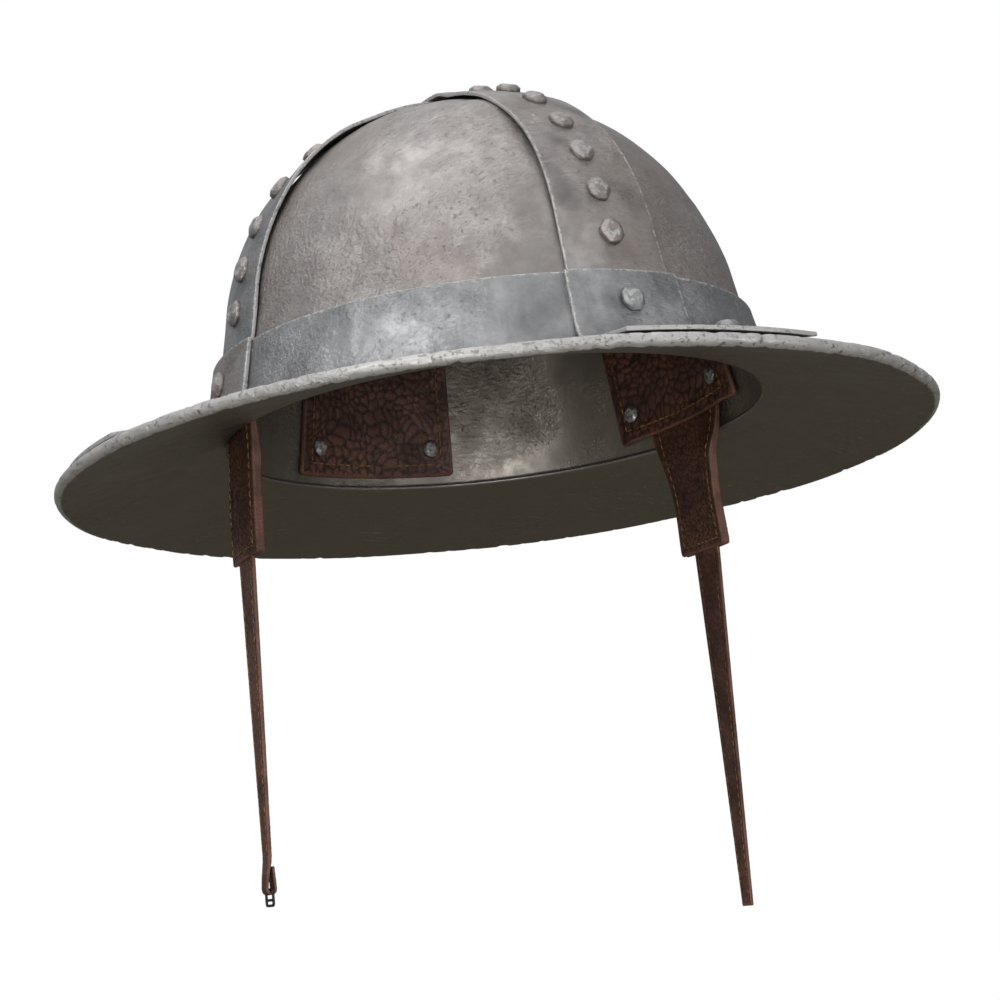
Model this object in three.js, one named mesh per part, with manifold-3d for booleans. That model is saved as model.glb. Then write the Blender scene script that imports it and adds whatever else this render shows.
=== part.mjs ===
// Kettle hat: a riveted steel crown with crossed straps, a brow band, a wide sloping brim,
// leather patches inside the crown and two leather chin straps.
//
// Millimetres, +Z up. The front of the hat faces -Y and the wearer's left is +X. The origin is on
// the hat's axis, at the lower edge of the opening that the head goes through. Azimuths are in
// degrees, from the front (0) towards the wearer's left (+90). Most pieces are made at the front
// and then turned about the axis.

import * as THREE from 'three';
import { mergeVertices } from 'three/addons/utils/BufferGeometryUtils.js';
import Module from 'manifold-3d';

const wasm = await Module();
wasm.setup();

const GAP = 0.4; // clearance between neighbouring pieces

// Brim: a sheet that slopes down and thickens to a rounded rim
const OPENING_RADIUS = 113.4;
const BRIM_RADIUS = 185;
const RIM_RADIUS = 2.68; // half the thickness of the rounded rim
const RIM_DROP = 14.85; // the rim's middle, below the opening's edge
const BRIM_SHEET = 2; // thickness beside the opening

// Skull: half of a slightly squared ellipsoid, on a wall that widens downwards to the brim
const SKULL_SHEET = 1.8;
const EQUATOR_RADIUS = 109.8;
const POLE_RADIUS = 115.4;
const DOME_POWER = 2.07; // 2 would be a true ellipsoid, and more is fuller at the shoulders
const EQUATOR_Z = 25.15;
const WALL_TOP_Z = 54.4; // where the wall runs into the dome
const WALL_FLARE = 0.21; // growth of the wall's radius for each millimetre down

// Brow band, crossed straps and angle plates
const BAND_SHEET = 1.8;
const BAND_TOP_Z = 32.75;
const STRAP_SHEET = 1.6;
const CROWN_STRAP_HALF_WIDTH = 22.2; // at the brow
const SIDE_STRAP_HALF_WIDTH = 18.6; // at the brow
const STRAP_TOP_HALF_WIDTH = 17.8; // of both straps, over the top of the crown
const STRAP_EDGE_LIFT = 1.2; // how far the straps' edges stand off the dome
const LIFT_RANGE = { starts: 8, full: 22, falls: 58, ends: 68 }; // elevations of that lift, in degrees
const STRAP_TAPER = { starts: 2, ends: 55 }; // elevations between which a strap narrows
const CROSSING_CLEARANCE = 6; // the crown strap is fully raised this far beyond the side strap's edges
const CROSSING_RAMP = 12; // length of the slope up to the crossing
const STRAP_END = -9.5; // elevation of the straps' hidden lower ends, in degrees
const SIDE_STRAP_SETBACK = 7; // the side strap runs this far behind the hat's axis
const PLATE_SHEET = 1.8;
const PLATE_TOP_Z = 33.2;
const FRONT_PLATE_HALF_ANGLE = 12.5; // on the brow, front and back
const SIDE_PLATE_HALF_ANGLE = 12.6; // on the brow, left and right
const SIDE_PLATE_SETBACK = 2; // a side plate sits this many degrees behind its strap's middle
const PLATE_END_HALF_ANGLE = 13.2; // at the rim
const PLATE_END_RADIUS = 180.5;
const PLATE_BEND = 12; // length of each leg that the bend takes up
const PLATE_END_LIFT = 0.7; // a plate's outer end stands this much farther off the brim
const BRIM_RIVET_TURN = 2; // the row on the brim is this many degrees off the plate's middle
const PLATE_OVERLAP_ANGLE = 0.6; // how far a plate's edge covers the band's end

// Rivets
const RIVET_RADIUS = 5;
const RIVET_HEIGHT = 3.2;
const RIVET_SIDES = 10;
// Outline of a domed head, as shares of its radius and height
const RIVET_PROFILE = [
  { out: 0, up: 0 },
  { out: 1, up: 0 },
  { out: 0.86, up: 0.58 },
  { out: 0.5, up: 0.92 },
  { out: 0, up: 1 },
];
const RIVET_TILT_ALLOWANCE = 0.3; // extra clearance where the strap bends under a rivet
// Elevations of the straps' rivets, in degrees
const CROWN_RIVET_ELEVATIONS = [12.8, 22.9, 33.4, 44, 56, 67.5, 79]; // front and back
const SIDE_RIVET_ELEVATIONS = [12.4, 22.3, 32.8, 43.4, 55.2]; // left and right
const BROW_RIVET_Z = 20;
const BRIM_RIVET_RADII = [137, 153, 170]; // distances from the axis along a plate

// Leather patches inside the crown
const PATCH_SHEET = 2.6;
const PATCH_CLEARANCE = 0.6; // to the skull
const PATCH_HALF_ANGLE = 20.5;
const PATCH_TOP_Z = 62;
const PATCH_BEND = { starts: 9, ends: 17 }; // a side patch comes back to the skull, past a tab's edge
const BACK_PATCH_Z = 5.5; // lower edge
const SIDE_PATCH_Z = 8;
const PATCH_RIVET_RADIUS = 3.8;
const PATCH_RIVET_HEIGHT = 2.2;
const PATCH_RIVET_ANGLE = 15.2; // from the patch's middle
const PATCH_RIVET_RISE = 12.5; // above the patch's lower edge
const BACK_PATCH_AZIMUTH = 182.2; // sewn in a little off the middle
const SIDE_PATCH_TILT = 0.055; // a side patch's lower edge climbs this much towards the front

// Strap tabs, chin straps and buckle, on both sides
const TAB_AZIMUTH = 99.3;
const TAB_RADIUS = 112.4; // outer face, at the opening
const TAB_CLEARANCE = 0.5; // to the skull
const TAB_THIN = 2.2; // one layer of leather, behind the patch
const TAB_THICK = 4.4; // doubled, below the patch
const TAB_TURN = 4.8; // the free part of a tab turns this far to face the side squarely
// Sections from the hidden top to the lower edge: outward is the move away from the axis and turn
// the share of TAB_TURN
const TAB_SECTIONS = [
  { z: 22, halfWidth: 22.5, sheet: TAB_THIN, outward: 0, turn: 0 },
  { z: 15, halfWidth: 22.5, sheet: TAB_THIN, outward: 0, turn: 0 },
  { z: 7, halfWidth: 22.5, sheet: TAB_THIN, outward: 0, turn: 0 },
  { z: 1, halfWidth: 21, sheet: 3, outward: 0, turn: 0 },
  { z: -8, halfWidth: 18, sheet: TAB_THICK, outward: 0, turn: 0.5 },
  { z: -20, halfWidth: 16, sheet: TAB_THICK, outward: 0.7, turn: 1 },
  { z: -51, halfWidth: 15.7, sheet: TAB_THICK, outward: 2, turn: 1 },
];
const TAB_COLUMNS = 6;
const POCKET_HALF_WIDTH = 9.3;
const POCKET_DEPTH = 10;
const POCKET_SHEET = 2.4;
const STRAP_LEAN_BACK = 2.9; // the straps hang this far from the hat's axis, in degrees
const STRAP_LEAN_OUT = 0.85;
const CHIN_STRAP_SHEET = 1.6;
// Sections of a chin strap: drop is the distance below its pocket's mouth
const CHIN_STRAP_SECTIONS = [
  { drop: -9, halfWidth: 8.5 },
  { drop: 0, halfWidth: 8.5 },
  { drop: 66, halfWidth: 6 },
];
const FREE_STRAP_END = { drop: 157, halfWidth: 3.1 };
const LOOP_DROP = 131.5; // axis of the loop that holds the buckle
const LOOP_STRAP_END = { drop: LOOP_DROP - 1.5, halfWidth: 3.2 };
const LOOP_RADIUS = 2.2;
const LOOP_BORE_RADIUS = 1.2;
const LOOP_SIDES = 14;
const BUCKLE_HALF_WIDTH = 4.8;
const BUCKLE_HEIGHT = 7.4;
const BUCKLE_BAR = 1.1;
const BUCKLE_SHEET = 1.2;
const BUCKLE_CENTRE_BAR_DROP = 3.6; // below the top bar

// Facets
const SKULL_SEGMENTS = 56;
const SKULL_STEPS = 12;
const BRIM_SEGMENTS = 64;
const RIM_STEPS = 8;
const STRAP_STEP = 5; // degrees between a strap's sections
const STRAP_COLUMNS = 4;
const BAND_STEP = 6; // degrees between a band's sections
const PLATE_COLUMNS = 5;
const PLATE_BEND_STEPS = 4;
const PATCH_COLUMNS = 12;
const PATCH_ROWS = 6;
const MERGE_DISTANCE = 1e-4; // corners closer than this are one

const steel = new THREE.MeshStandardMaterial({ color: 0x8c8782, roughness: 0.5, metalness: 0.9 });
const darkSteel = new THREE.MeshStandardMaterial({ color: 0x5d6166, roughness: 0.55, metalness: 0.9 });
const leather = new THREE.MeshStandardMaterial({ color: 0x54301f, roughness: 0.75, metalness: 0 });
const blackSteel = new THREE.MeshStandardMaterial({ color: 0x1d1c1b, roughness: 0.5, metalness: 0.8 });

const rad = THREE.MathUtils.degToRad;
const smoothstep = THREE.MathUtils.smoothstep;
const lerp = THREE.MathUtils.lerp;

const WALL_TOP_RADIUS = domeRadius(WALL_TOP_Z, 0);
const WALL_SLANT = Math.hypot(1, WALL_FLARE);
const WALL_TOP_ELEVATION = Math.atan2(WALL_TOP_Z - EQUATOR_Z, WALL_TOP_RADIUS);

// The brim's underside and top are the two tangents from the opening's edge to the rim's circle
const RIM_CENTRE = new THREE.Vector2(BRIM_RADIUS - RIM_RADIUS, -RIM_DROP);
const UNDERSIDE_ANGLE = tangentAngle(0, -1);
const TOP_ANGLE = tangentAngle(BRIM_SHEET, 1);
const TOP_SLOPE = Math.tan(TOP_ANGLE);
const TOP_SLANT = Math.hypot(1, TOP_SLOPE);

// Angle of the line from the opening's edge at height z that touches the rim's circle from
// above (side 1) or from below (side -1)
function tangentAngle(z, side) {
  const toCentre = RIM_CENTRE.clone().sub(new THREE.Vector2(OPENING_RADIUS, z));
  return Math.atan2(toCentre.y, toCentre.x) + side * Math.asin(RIM_RADIUS / toCentre.length());
}

// Height of the brim's top at a distance from the axis
function brimTop(radius) {
  return BRIM_SHEET + (radius - OPENING_RADIUS) * TOP_SLOPE;
}

// Radius of the skull's wall at height z, moved out by offset square to the wall
function wallRadius(z, offset) {
  return WALL_TOP_RADIUS + WALL_FLARE * (WALL_TOP_Z - z) + offset * WALL_SLANT;
}

// Height where the wall, moved out by offset, meets the brim's top, moved up by lift
function wallFoot(offset, lift) {
  const rise = wallRadius(0, offset) - OPENING_RADIUS;
  return (BRIM_SHEET + lift * TOP_SLANT + rise * TOP_SLOPE) / (1 + WALL_FLARE * TOP_SLOPE);
}

// Radius of the dome at height z, moved out by offset
function domeRadius(z, offset) {
  const height = (z - EQUATOR_Z) / (POLE_RADIUS + offset);
  return (EQUATOR_RADIUS + offset) * (1 - height ** DOME_POWER) ** (1 / DOME_POWER);
}

// Radius of the skull's outside at height z, wall or dome, moved out by offset
function shellRadius(z, offset) {
  return z <= WALL_TOP_Z ? wallRadius(z, offset) : domeRadius(z, offset);
}

// Distance from the dome's centre to the skull's outside, moved out by offset, along a ray that
// rises at the given elevation
function shellReach(elevation, offset) {
  const across = Math.cos(elevation);
  const up = Math.sin(elevation);
  if (elevation < WALL_TOP_ELEVATION) {
    return wallRadius(EQUATOR_Z, offset) / (across + WALL_FLARE * up);
  }
  const flat = (across / (EQUATOR_RADIUS + offset)) ** DOME_POWER;
  const steep = (up / (POLE_RADIUS + offset)) ** DOME_POWER;
  return (flat + steep) ** (-1 / DOME_POWER);
}

// Point at a radius and height, turned from the front by an azimuth in radians
function polar(radius, azimuth, z) {
  return new THREE.Vector3(radius * Math.sin(azimuth), -radius * Math.cos(azimuth), z);
}

// Six times the volume that a closed mesh encloses, negative where its faces point inwards
function signedVolume(positions, index) {
  const corner = (order) => new THREE.Vector3().fromArray(positions, 3 * index[order]);
  let volume = 0;
  for (let order = 0; order < index.length; order += 3) {
    volume += corner(order).dot(corner(order + 1).cross(corner(order + 2)));
  }
  return volume;
}

// A closed wall from a grid of points: pointAt(row, column, side) gives the two faces, side 0 and
// side 1, and the grid's four edges are closed between them. Its faces point outwards whichever
// way the grid runs
function sheetGeometry(rows, columns, pointAt) {
  const positions = [];
  const index = [];
  const stride = columns + 1;
  const faceSize = (rows + 1) * stride;
  const vertex = (row, column, side) => side * faceSize + row * stride + column;
  const quad = (a, b, c, d) => index.push(a, b, c, a, c, d);
  for (const side of [0, 1]) {
    for (let row = 0; row <= rows; row += 1) {
      for (let column = 0; column <= columns; column += 1) {
        positions.push(...pointAt(row, column, side).toArray());
      }
    }
  }
  for (let row = 0; row < rows; row += 1) {
    for (let column = 0; column < columns; column += 1) {
      quad(vertex(row, column, 0), vertex(row + 1, column, 0),
        vertex(row + 1, column + 1, 0), vertex(row, column + 1, 0));
      quad(vertex(row, column, 1), vertex(row, column + 1, 1),
        vertex(row + 1, column + 1, 1), vertex(row + 1, column, 1));
    }
  }
  for (let row = 0; row < rows; row += 1) {
    quad(vertex(row, 0, 0), vertex(row, 0, 1), vertex(row + 1, 0, 1), vertex(row + 1, 0, 0));
    quad(vertex(row, columns, 0), vertex(row + 1, columns, 0),
      vertex(row + 1, columns, 1), vertex(row, columns, 1));
  }
  for (let column = 0; column < columns; column += 1) {
    quad(vertex(0, column, 0), vertex(0, column + 1, 0), vertex(0, column + 1, 1), vertex(0, column, 1));
    quad(vertex(rows, column, 0), vertex(rows, column, 1),
      vertex(rows, column + 1, 1), vertex(rows, column + 1, 0));
  }
  if (signedVolume(positions, index) < 0) {
    index.reverse();
  }
  const geometry = new THREE.BufferGeometry();
  geometry.setAttribute('position', new THREE.Float32BufferAttribute(positions, 3));
  geometry.setIndex(index);
  return geometry;
}

// A profile of (radius, height) points turned about the hat's axis
function turned(profile, segments) {
  return new THREE.LatheGeometry(profile, segments).rotateX(Math.PI / 2);
}

// A three.js geometry as a manifold solid, for joining and cutting
function toSolid(geometry) {
  const bare = geometry.clone();
  bare.deleteAttribute('normal');
  bare.deleteAttribute('uv');
  const merged = mergeVertices(bare, MERGE_DISTANCE);
  const vertProperties = new Float32Array(merged.getAttribute('position').array);
  const triVerts = new Uint32Array(merged.index.array);
  return new wasm.Manifold(new wasm.Mesh({ numProp: 3, vertProperties, triVerts }));
}

// A manifold solid as a three.js geometry
function fromSolid(solid) {
  const mesh = solid.getMesh();
  const geometry = new THREE.BufferGeometry();
  geometry.setAttribute('position', new THREE.Float32BufferAttribute(mesh.vertProperties, 3));
  geometry.setIndex(Array.from(mesh.triVerts));
  return geometry;
}

// The dome with its wall: one sheet, open below
function skullGeometry() {
  const wall = (offset) => {
    const z = wallFoot(offset, GAP);
    return new THREE.Vector2(wallRadius(z, offset), z);
  };
  const dome = (step, offset) => {
    const elevation = lerp(WALL_TOP_ELEVATION, Math.PI / 2, step / SKULL_STEPS);
    const reach = shellReach(elevation, offset);
    const radius = step === SKULL_STEPS ? 0 : reach * Math.cos(elevation);
    return new THREE.Vector2(radius, EQUATOR_Z + reach * Math.sin(elevation));
  };
  const steps = Array.from({ length: SKULL_STEPS + 1 }, (_, step) => step);
  const inside = steps.toReversed().map((step) => dome(step, -SKULL_SHEET));
  const outside = steps.map((step) => dome(step, 0));
  return turned([...inside, wall(-SKULL_SHEET), wall(0), ...outside], SKULL_SEGMENTS);
}

// The brim: two cones that meet a round rim
function brimGeometry() {
  const profile = [new THREE.Vector2(OPENING_RADIUS, 0)];
  for (let step = 0; step <= RIM_STEPS; step += 1) {
    const angle = lerp(UNDERSIDE_ANGLE - Math.PI / 2, TOP_ANGLE + Math.PI / 2, step / RIM_STEPS);
    const outward = new THREE.Vector2(Math.cos(angle), Math.sin(angle));
    profile.push(outward.multiplyScalar(RIM_RADIUS).add(RIM_CENTRE));
  }
  profile.push(new THREE.Vector2(OPENING_RADIUS, BRIM_SHEET));
  profile.push(new THREE.Vector2(OPENING_RADIUS, 0));
  return turned(profile, BRIM_SEGMENTS);
}

// One stretch of the brow band between two azimuths
function bandGeometry(start, end) {
  const columns = Math.ceil((end - start) / BAND_STEP);
  return sheetGeometry(1, columns, (row, column, side) => {
    const offset = GAP + side * BAND_SHEET;
    const z = row === 0 ? wallFoot(offset, GAP) : BAND_TOP_Z;
    return polar(wallRadius(z, offset), rad(lerp(start, end, column / columns)), z);
  });
}

// Half the width of a strap that is browHalfWidth at the brow, at an elevation of 0 to 90 degrees
function strapHalfWidth(elevation, browHalfWidth) {
  const tapered = smoothstep(elevation, STRAP_TAPER.starts, STRAP_TAPER.ends);
  return lerp(browHalfWidth, STRAP_TOP_HALF_WIDTH, tapered);
}

// How far the crown strap rises where it passes over the side strap
function crossingRise(along) {
  const distance = Math.abs(rad(along - 90) * POLE_RADIUS - SIDE_STRAP_SETBACK);
  const clear = STRAP_TOP_HALF_WIDTH + CROSSING_CLEARANCE;
  return (STRAP_SHEET + GAP) * (1 - smoothstep(distance, clear, clear + CROSSING_RAMP));
}

// Direction from the dome's centre to a point of a strap: along is the angle over the crown from
// one brow, in degrees, and across is the distance to the side of the crown's middle plane
function strapDirection(along, across) {
  const side = across / EQUATOR_RADIUS;
  return new THREE.Vector3(
    Math.sin(side),
    -Math.cos(side) * Math.cos(rad(along)),
    Math.cos(side) * Math.sin(rad(along)),
  );
}

// Point of a strap that stands off the skull by offset
function strapPoint(along, across, offset) {
  const direction = strapDirection(along, across);
  const reach = shellReach(Math.asin(direction.z), offset);
  return direction.multiplyScalar(reach).add(new THREE.Vector3(0, 0, EQUATOR_Z));
}

// A strap over the crown from brow to brow, with its edges standing a little off the dome
function strapGeometry(browHalfWidth, middle, riseAt) {
  const rows = Math.round((180 - 2 * STRAP_END) / STRAP_STEP);
  return sheetGeometry(rows, STRAP_COLUMNS, (row, column, side) => {
    const along = lerp(STRAP_END, 180 - STRAP_END, row / rows);
    const elevation = Math.min(along, 180 - along);
    const share = (2 * column) / STRAP_COLUMNS - 1;
    const rising = smoothstep(elevation, LIFT_RANGE.starts, LIFT_RANGE.full);
    const falling = smoothstep(elevation, LIFT_RANGE.falls, LIFT_RANGE.ends);
    const lift = STRAP_EDGE_LIFT * share * share * rising * (1 - falling);
    const offset = GAP + riseAt(along) + lift + side * STRAP_SHEET;
    return strapPoint(along, middle + share * strapHalfWidth(elevation, browHalfWidth), offset);
  });
}

// Domed rivet head, its flat side at the origin and its top towards +Z
function rivetGeometry(radius, height) {
  const profile = RIVET_PROFILE.map((share) => new THREE.Vector2(share.out * radius, share.up * height));
  return turned(profile, RIVET_SIDES);
}

// Turns and moves a rivet so that it sits at a point and faces along a direction
function seat(object, point, direction) {
  object.position.copy(point);
  object.quaternion.setFromUnitVectors(new THREE.Vector3(0, 0, 1), direction);
  return object;
}

// A rivet head as a solid at a point, sunk a little so that it joins what carries it
function seatedRivet(point, direction) {
  const sunk = point.clone().addScaledVector(direction, -GAP);
  const holder = seat(new THREE.Object3D(), sunk, direction);
  holder.updateMatrix();
  return toSolid(rivetGeometry(RIVET_RADIUS, RIVET_HEIGHT + GAP).applyMatrix4(holder.matrix));
}

// Radius and height along an angle plate, for a face that stands off the wall by offset and off the
// brim by lift: down the wall, round the bend and out along the brim
function platePath(offset, lift) {
  const top = new THREE.Vector2(wallRadius(PLATE_TOP_Z, offset), PLATE_TOP_Z);
  const footZ = wallFoot(offset, lift);
  const corner = new THREE.Vector2(wallRadius(footZ, offset), footZ);
  const endZ = brimTop(PLATE_END_RADIUS) + (lift + PLATE_END_LIFT) * TOP_SLANT;
  const end = new THREE.Vector2(PLATE_END_RADIUS, endZ);
  const onLeg = (far) => far.clone().sub(corner).setLength(PLATE_BEND).add(corner);
  const bend = new THREE.QuadraticBezierCurve(onLeg(top), corner, onLeg(end));
  return [top, ...bend.getPoints(PLATE_BEND_STEPS), end];
}

// Angle plate that ties the crown to the brim, with its four rivets: one leg on the brow, over
// the band and the strap's end, and one leg on the brim
function anglePlateGeometry(browHalfAngle) {
  const under = 2 * GAP + BAND_SHEET;
  const paths = [0, 1].map((side) => platePath(under + side * PLATE_SHEET, GAP + side * PLATE_SHEET));
  const sheet = sheetGeometry(paths[0].length - 1, PLATE_COLUMNS, (row, column, side) => {
    const point = paths[side][row];
    const out = Math.max(0, (point.x - paths[side][0].x) / (PLATE_END_RADIUS - paths[side][0].x));
    const halfAngle = lerp(browHalfAngle, PLATE_END_HALF_ANGLE, out);
    return polar(point.x, rad(((2 * column) / PLATE_COLUMNS - 1) * halfAngle), point.y);
  });
  const browPoint = polar(wallRadius(BROW_RIVET_Z, under + PLATE_SHEET), 0, BROW_RIVET_Z);
  const browNormal = new THREE.Vector3(0, -1, WALL_FLARE).normalize();
  let solid = toSolid(sheet).add(seatedRivet(browPoint, browNormal));
  const [bendEnd, legEnd] = paths[1].slice(-2);
  const legSlope = (legEnd.y - bendEnd.y) / (legEnd.x - bendEnd.x);
  const legNormal = new THREE.Vector3(0, legSlope, 1).normalize();
  for (const radius of BRIM_RIVET_RADII) {
    const z = bendEnd.y + legSlope * (radius - bendEnd.x);
    solid = solid.add(seatedRivet(polar(radius, rad(BRIM_RIVET_TURN), z), legNormal));
  }
  return fromSolid(solid);
}

// Radius of a tab's outer face at height z: it lies on the skull's inside, and hangs straight down
// from where it would not pass through the opening
function tabRadius(z) {
  return Math.min(TAB_RADIUS, shellRadius(z, -SKULL_SHEET - TAB_CLEARANCE));
}

// Radius of a patch's outer face. A side patch arches over the strap tab behind it and comes back
// to the skull beyond the tab's edges
function patchRadius(z, distance, overTab) {
  const onSkull = shellRadius(z, -SKULL_SHEET - PATCH_CLEARANCE);
  if (!overTab) {
    return onSkull;
  }
  const beyondTab = Math.abs(distance) - TAB_SECTIONS[0].halfWidth;
  const share = smoothstep(beyondTab, PATCH_BEND.starts, PATCH_BEND.ends);
  return lerp(tabRadius(z) - TAB_THIN - GAP, onSkull, share);
}

// Leather patch that lines a part of the crown's inside. Its lower edge climbs by tilt for each
// millimetre along it
function patchGeometry(patch) {
  return sheetGeometry(PATCH_ROWS, PATCH_COLUMNS, (row, column, side) => {
    const azimuth = rad(lerp(-PATCH_HALF_ANGLE, PATCH_HALF_ANGLE, column / PATCH_COLUMNS));
    const distance = azimuth * EQUATOR_RADIUS;
    const z = lerp(patch.lowerZ, PATCH_TOP_Z, row / PATCH_ROWS) + patch.tilt * distance;
    return polar(patchRadius(z, distance, patch.overTab) - side * PATCH_SHEET, azimuth, z);
  });
}

// A patch's rivets, which face the head
function patchRivets(patch) {
  return [-1, 1].map((hand) => {
    const azimuth = rad(hand * PATCH_RIVET_ANGLE);
    const distance = azimuth * EQUATOR_RADIUS;
    const z = patch.lowerZ + PATCH_RIVET_RISE + patch.tilt * distance;
    const radius = patchRadius(z, distance, patch.overTab) - PATCH_SHEET - GAP;
    const mesh = new THREE.Mesh(rivetGeometry(PATCH_RIVET_RADIUS, PATCH_RIVET_HEIGHT), steel);
    mesh.name = `${patch.name}_rivet_${hand < 0 ? 'a' : 'b'}`;
    const inward = polar(-1, azimuth, -WALL_FLARE).normalize();
    return seat(mesh, polar(radius, azimuth, z), inward);
  });
}

// Holder for what hangs from a tab's pocket: at the middle of the tab's lower edge, turned with the
// tab and leaning out and back. Hand is 1 on the wearer's left and -1 on the right
function strapHolder(hand) {
  const end = TAB_SECTIONS.at(-1);
  const holder = new THREE.Group();
  holder.position.set(0, -(TAB_RADIUS + end.outward - end.sheet / 2), end.z);
  holder.rotation.set(rad(-STRAP_LEAN_OUT), rad(-hand * STRAP_LEAN_BACK), rad(-hand * TAB_TURN), 'ZXY');
  holder.updateMatrix();
  return holder;
}

// Strap tab: curved leather that hangs out of the crown, with a pocket in its lower edge for the
// chin strap
function tabGeometry(hand) {
  const up = new THREE.Vector3(0, 0, 1);
  const sheet = sheetGeometry(TAB_SECTIONS.length - 1, TAB_COLUMNS, (row, column, side) => {
    const section = TAB_SECTIONS[row];
    const outer = tabRadius(section.z) + section.outward;
    const azimuth = ((2 * column) / TAB_COLUMNS - 1) * (section.halfWidth / TAB_RADIUS);
    const middle = polar(outer - section.sheet / 2, 0, section.z);
    const point = polar(outer - side * section.sheet, azimuth, section.z).sub(middle);
    return point.applyAxisAngle(up, rad(-hand * section.turn * TAB_TURN)).add(middle);
  });
  const pocket = new THREE.BoxGeometry(2 * POCKET_HALF_WIDTH, POCKET_SHEET, 2 * POCKET_DEPTH);
  pocket.applyMatrix4(strapHolder(hand).matrix);
  return fromSolid(toSolid(sheet).subtract(toSolid(pocket)));
}

// A flat chin strap between the sections' half widths, hanging from the origin
function flatStrapGeometry(sections) {
  const rightEdge = sections.map((section) => new THREE.Vector2(section.halfWidth, -section.drop));
  const leftEdge = sections.map((section) => new THREE.Vector2(-section.halfWidth, -section.drop));
  const outline = new THREE.Shape([...rightEdge, ...leftEdge.reverse()]);
  const strap = new THREE.ExtrudeGeometry(outline, { depth: CHIN_STRAP_SHEET, bevelEnabled: false });
  return strap.translate(0, 0, -CHIN_STRAP_SHEET / 2).rotateX(Math.PI / 2);
}

// A round bar across the chin strap, at the axis of its loop
function loopBar(radius, halfWidth) {
  const bar = new THREE.CylinderGeometry(radius, radius, 2 * halfWidth, LOOP_SIDES);
  return toSolid(bar.rotateZ(Math.PI / 2).translate(0, 0, -LOOP_DROP));
}

// The chin strap whose end is turned round the buckle's top bar
function loopStrapGeometry() {
  const strap = toSolid(flatStrapGeometry([...CHIN_STRAP_SECTIONS, LOOP_STRAP_END]));
  const eye = loopBar(LOOP_RADIUS, LOOP_STRAP_END.halfWidth);
  const bore = loopBar(LOOP_BORE_RADIUS, BUCKLE_HALF_WIDTH);
  return fromSolid(strap.add(eye).subtract(bore));
}

// Buckle: a flat frame with a centre bar, whose top bar lies in the strap's loop
function buckleGeometry() {
  const top = BUCKLE_BAR / 2 - LOOP_DROP;
  const bottom = top - BUCKLE_HEIGHT;
  const barTop = -LOOP_DROP - BUCKLE_CENTRE_BAR_DROP;
  const inside = BUCKLE_HALF_WIDTH - BUCKLE_BAR;
  const corners = (halfWidth, high, low) => [
    new THREE.Vector2(-halfWidth, low),
    new THREE.Vector2(halfWidth, low),
    new THREE.Vector2(halfWidth, high),
    new THREE.Vector2(-halfWidth, high),
  ];
  const outline = new THREE.Shape(corners(BUCKLE_HALF_WIDTH, top, bottom));
  outline.holes.push(new THREE.Path(corners(inside, top - BUCKLE_BAR, barTop)));
  outline.holes.push(new THREE.Path(corners(inside, barTop - BUCKLE_BAR, bottom + BUCKLE_BAR)));
  const frame = new THREE.ExtrudeGeometry(outline, { depth: BUCKLE_SHEET, bevelEnabled: false });
  return frame.translate(0, 0, -BUCKLE_SHEET / 2).rotateX(Math.PI / 2);
}

const hat = new THREE.Group();

// A named piece
function piece(name, geometry, material) {
  const mesh = new THREE.Mesh(geometry, material);
  mesh.name = name;
  return mesh;
}

// Adds pieces in a group that is turned about the axis by an azimuth in degrees
function addTurned(azimuth, ...pieces) {
  const group = new THREE.Group();
  group.rotation.z = rad(azimuth);
  group.add(...pieces);
  hat.add(group);
}

hat.add(piece('skull', skullGeometry(), steel));
hat.add(piece('brim', brimGeometry(), steel));

const sideStrapAzimuth = 90 + THREE.MathUtils.radToDeg(Math.asin(SIDE_STRAP_SETBACK / EQUATOR_RADIUS));
const sideAzimuth = sideStrapAzimuth + SIDE_PLATE_SETBACK;
const plates = [
  { name: 'front', azimuth: 0, halfAngle: FRONT_PLATE_HALF_ANGLE, nextBand: 'front_left' },
  { name: 'left', azimuth: sideAzimuth, halfAngle: SIDE_PLATE_HALF_ANGLE, nextBand: 'back_left' },
  { name: 'back', azimuth: 180, halfAngle: FRONT_PLATE_HALF_ANGLE, nextBand: 'back_right' },
  { name: 'right', azimuth: 360 - sideAzimuth, halfAngle: SIDE_PLATE_HALF_ANGLE, nextBand: 'front_right' },
];
plates.forEach((plate, order) => {
  const next = plates[(order + 1) % plates.length];
  const nextAzimuth = next.azimuth > plate.azimuth ? next.azimuth : next.azimuth + 360;
  const start = plate.azimuth + plate.halfAngle - PLATE_OVERLAP_ANGLE;
  const end = nextAzimuth - next.halfAngle + PLATE_OVERLAP_ANGLE;
  hat.add(piece(`brow_band_${plate.nextBand}`, bandGeometry(start, end), darkSteel));
  const plateGeometry = anglePlateGeometry(plate.halfAngle);
  addTurned(plate.azimuth, piece(`angle_plate_${plate.name}`, plateGeometry, steel));
});

// The crown strap runs from front to back. The side strap is turned a quarter, so that its along
// angle starts at the wearer's left, and set back behind the axis
const flat = () => 0;
const crownStrap = strapGeometry(CROWN_STRAP_HALF_WIDTH, 0, crossingRise);
const sideStrap = strapGeometry(SIDE_STRAP_HALF_WIDTH, SIDE_STRAP_SETBACK, flat);
hat.add(piece('crown_strap', crownStrap, steel));
addTurned(90, piece('side_strap', sideStrap, darkSteel));

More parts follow.
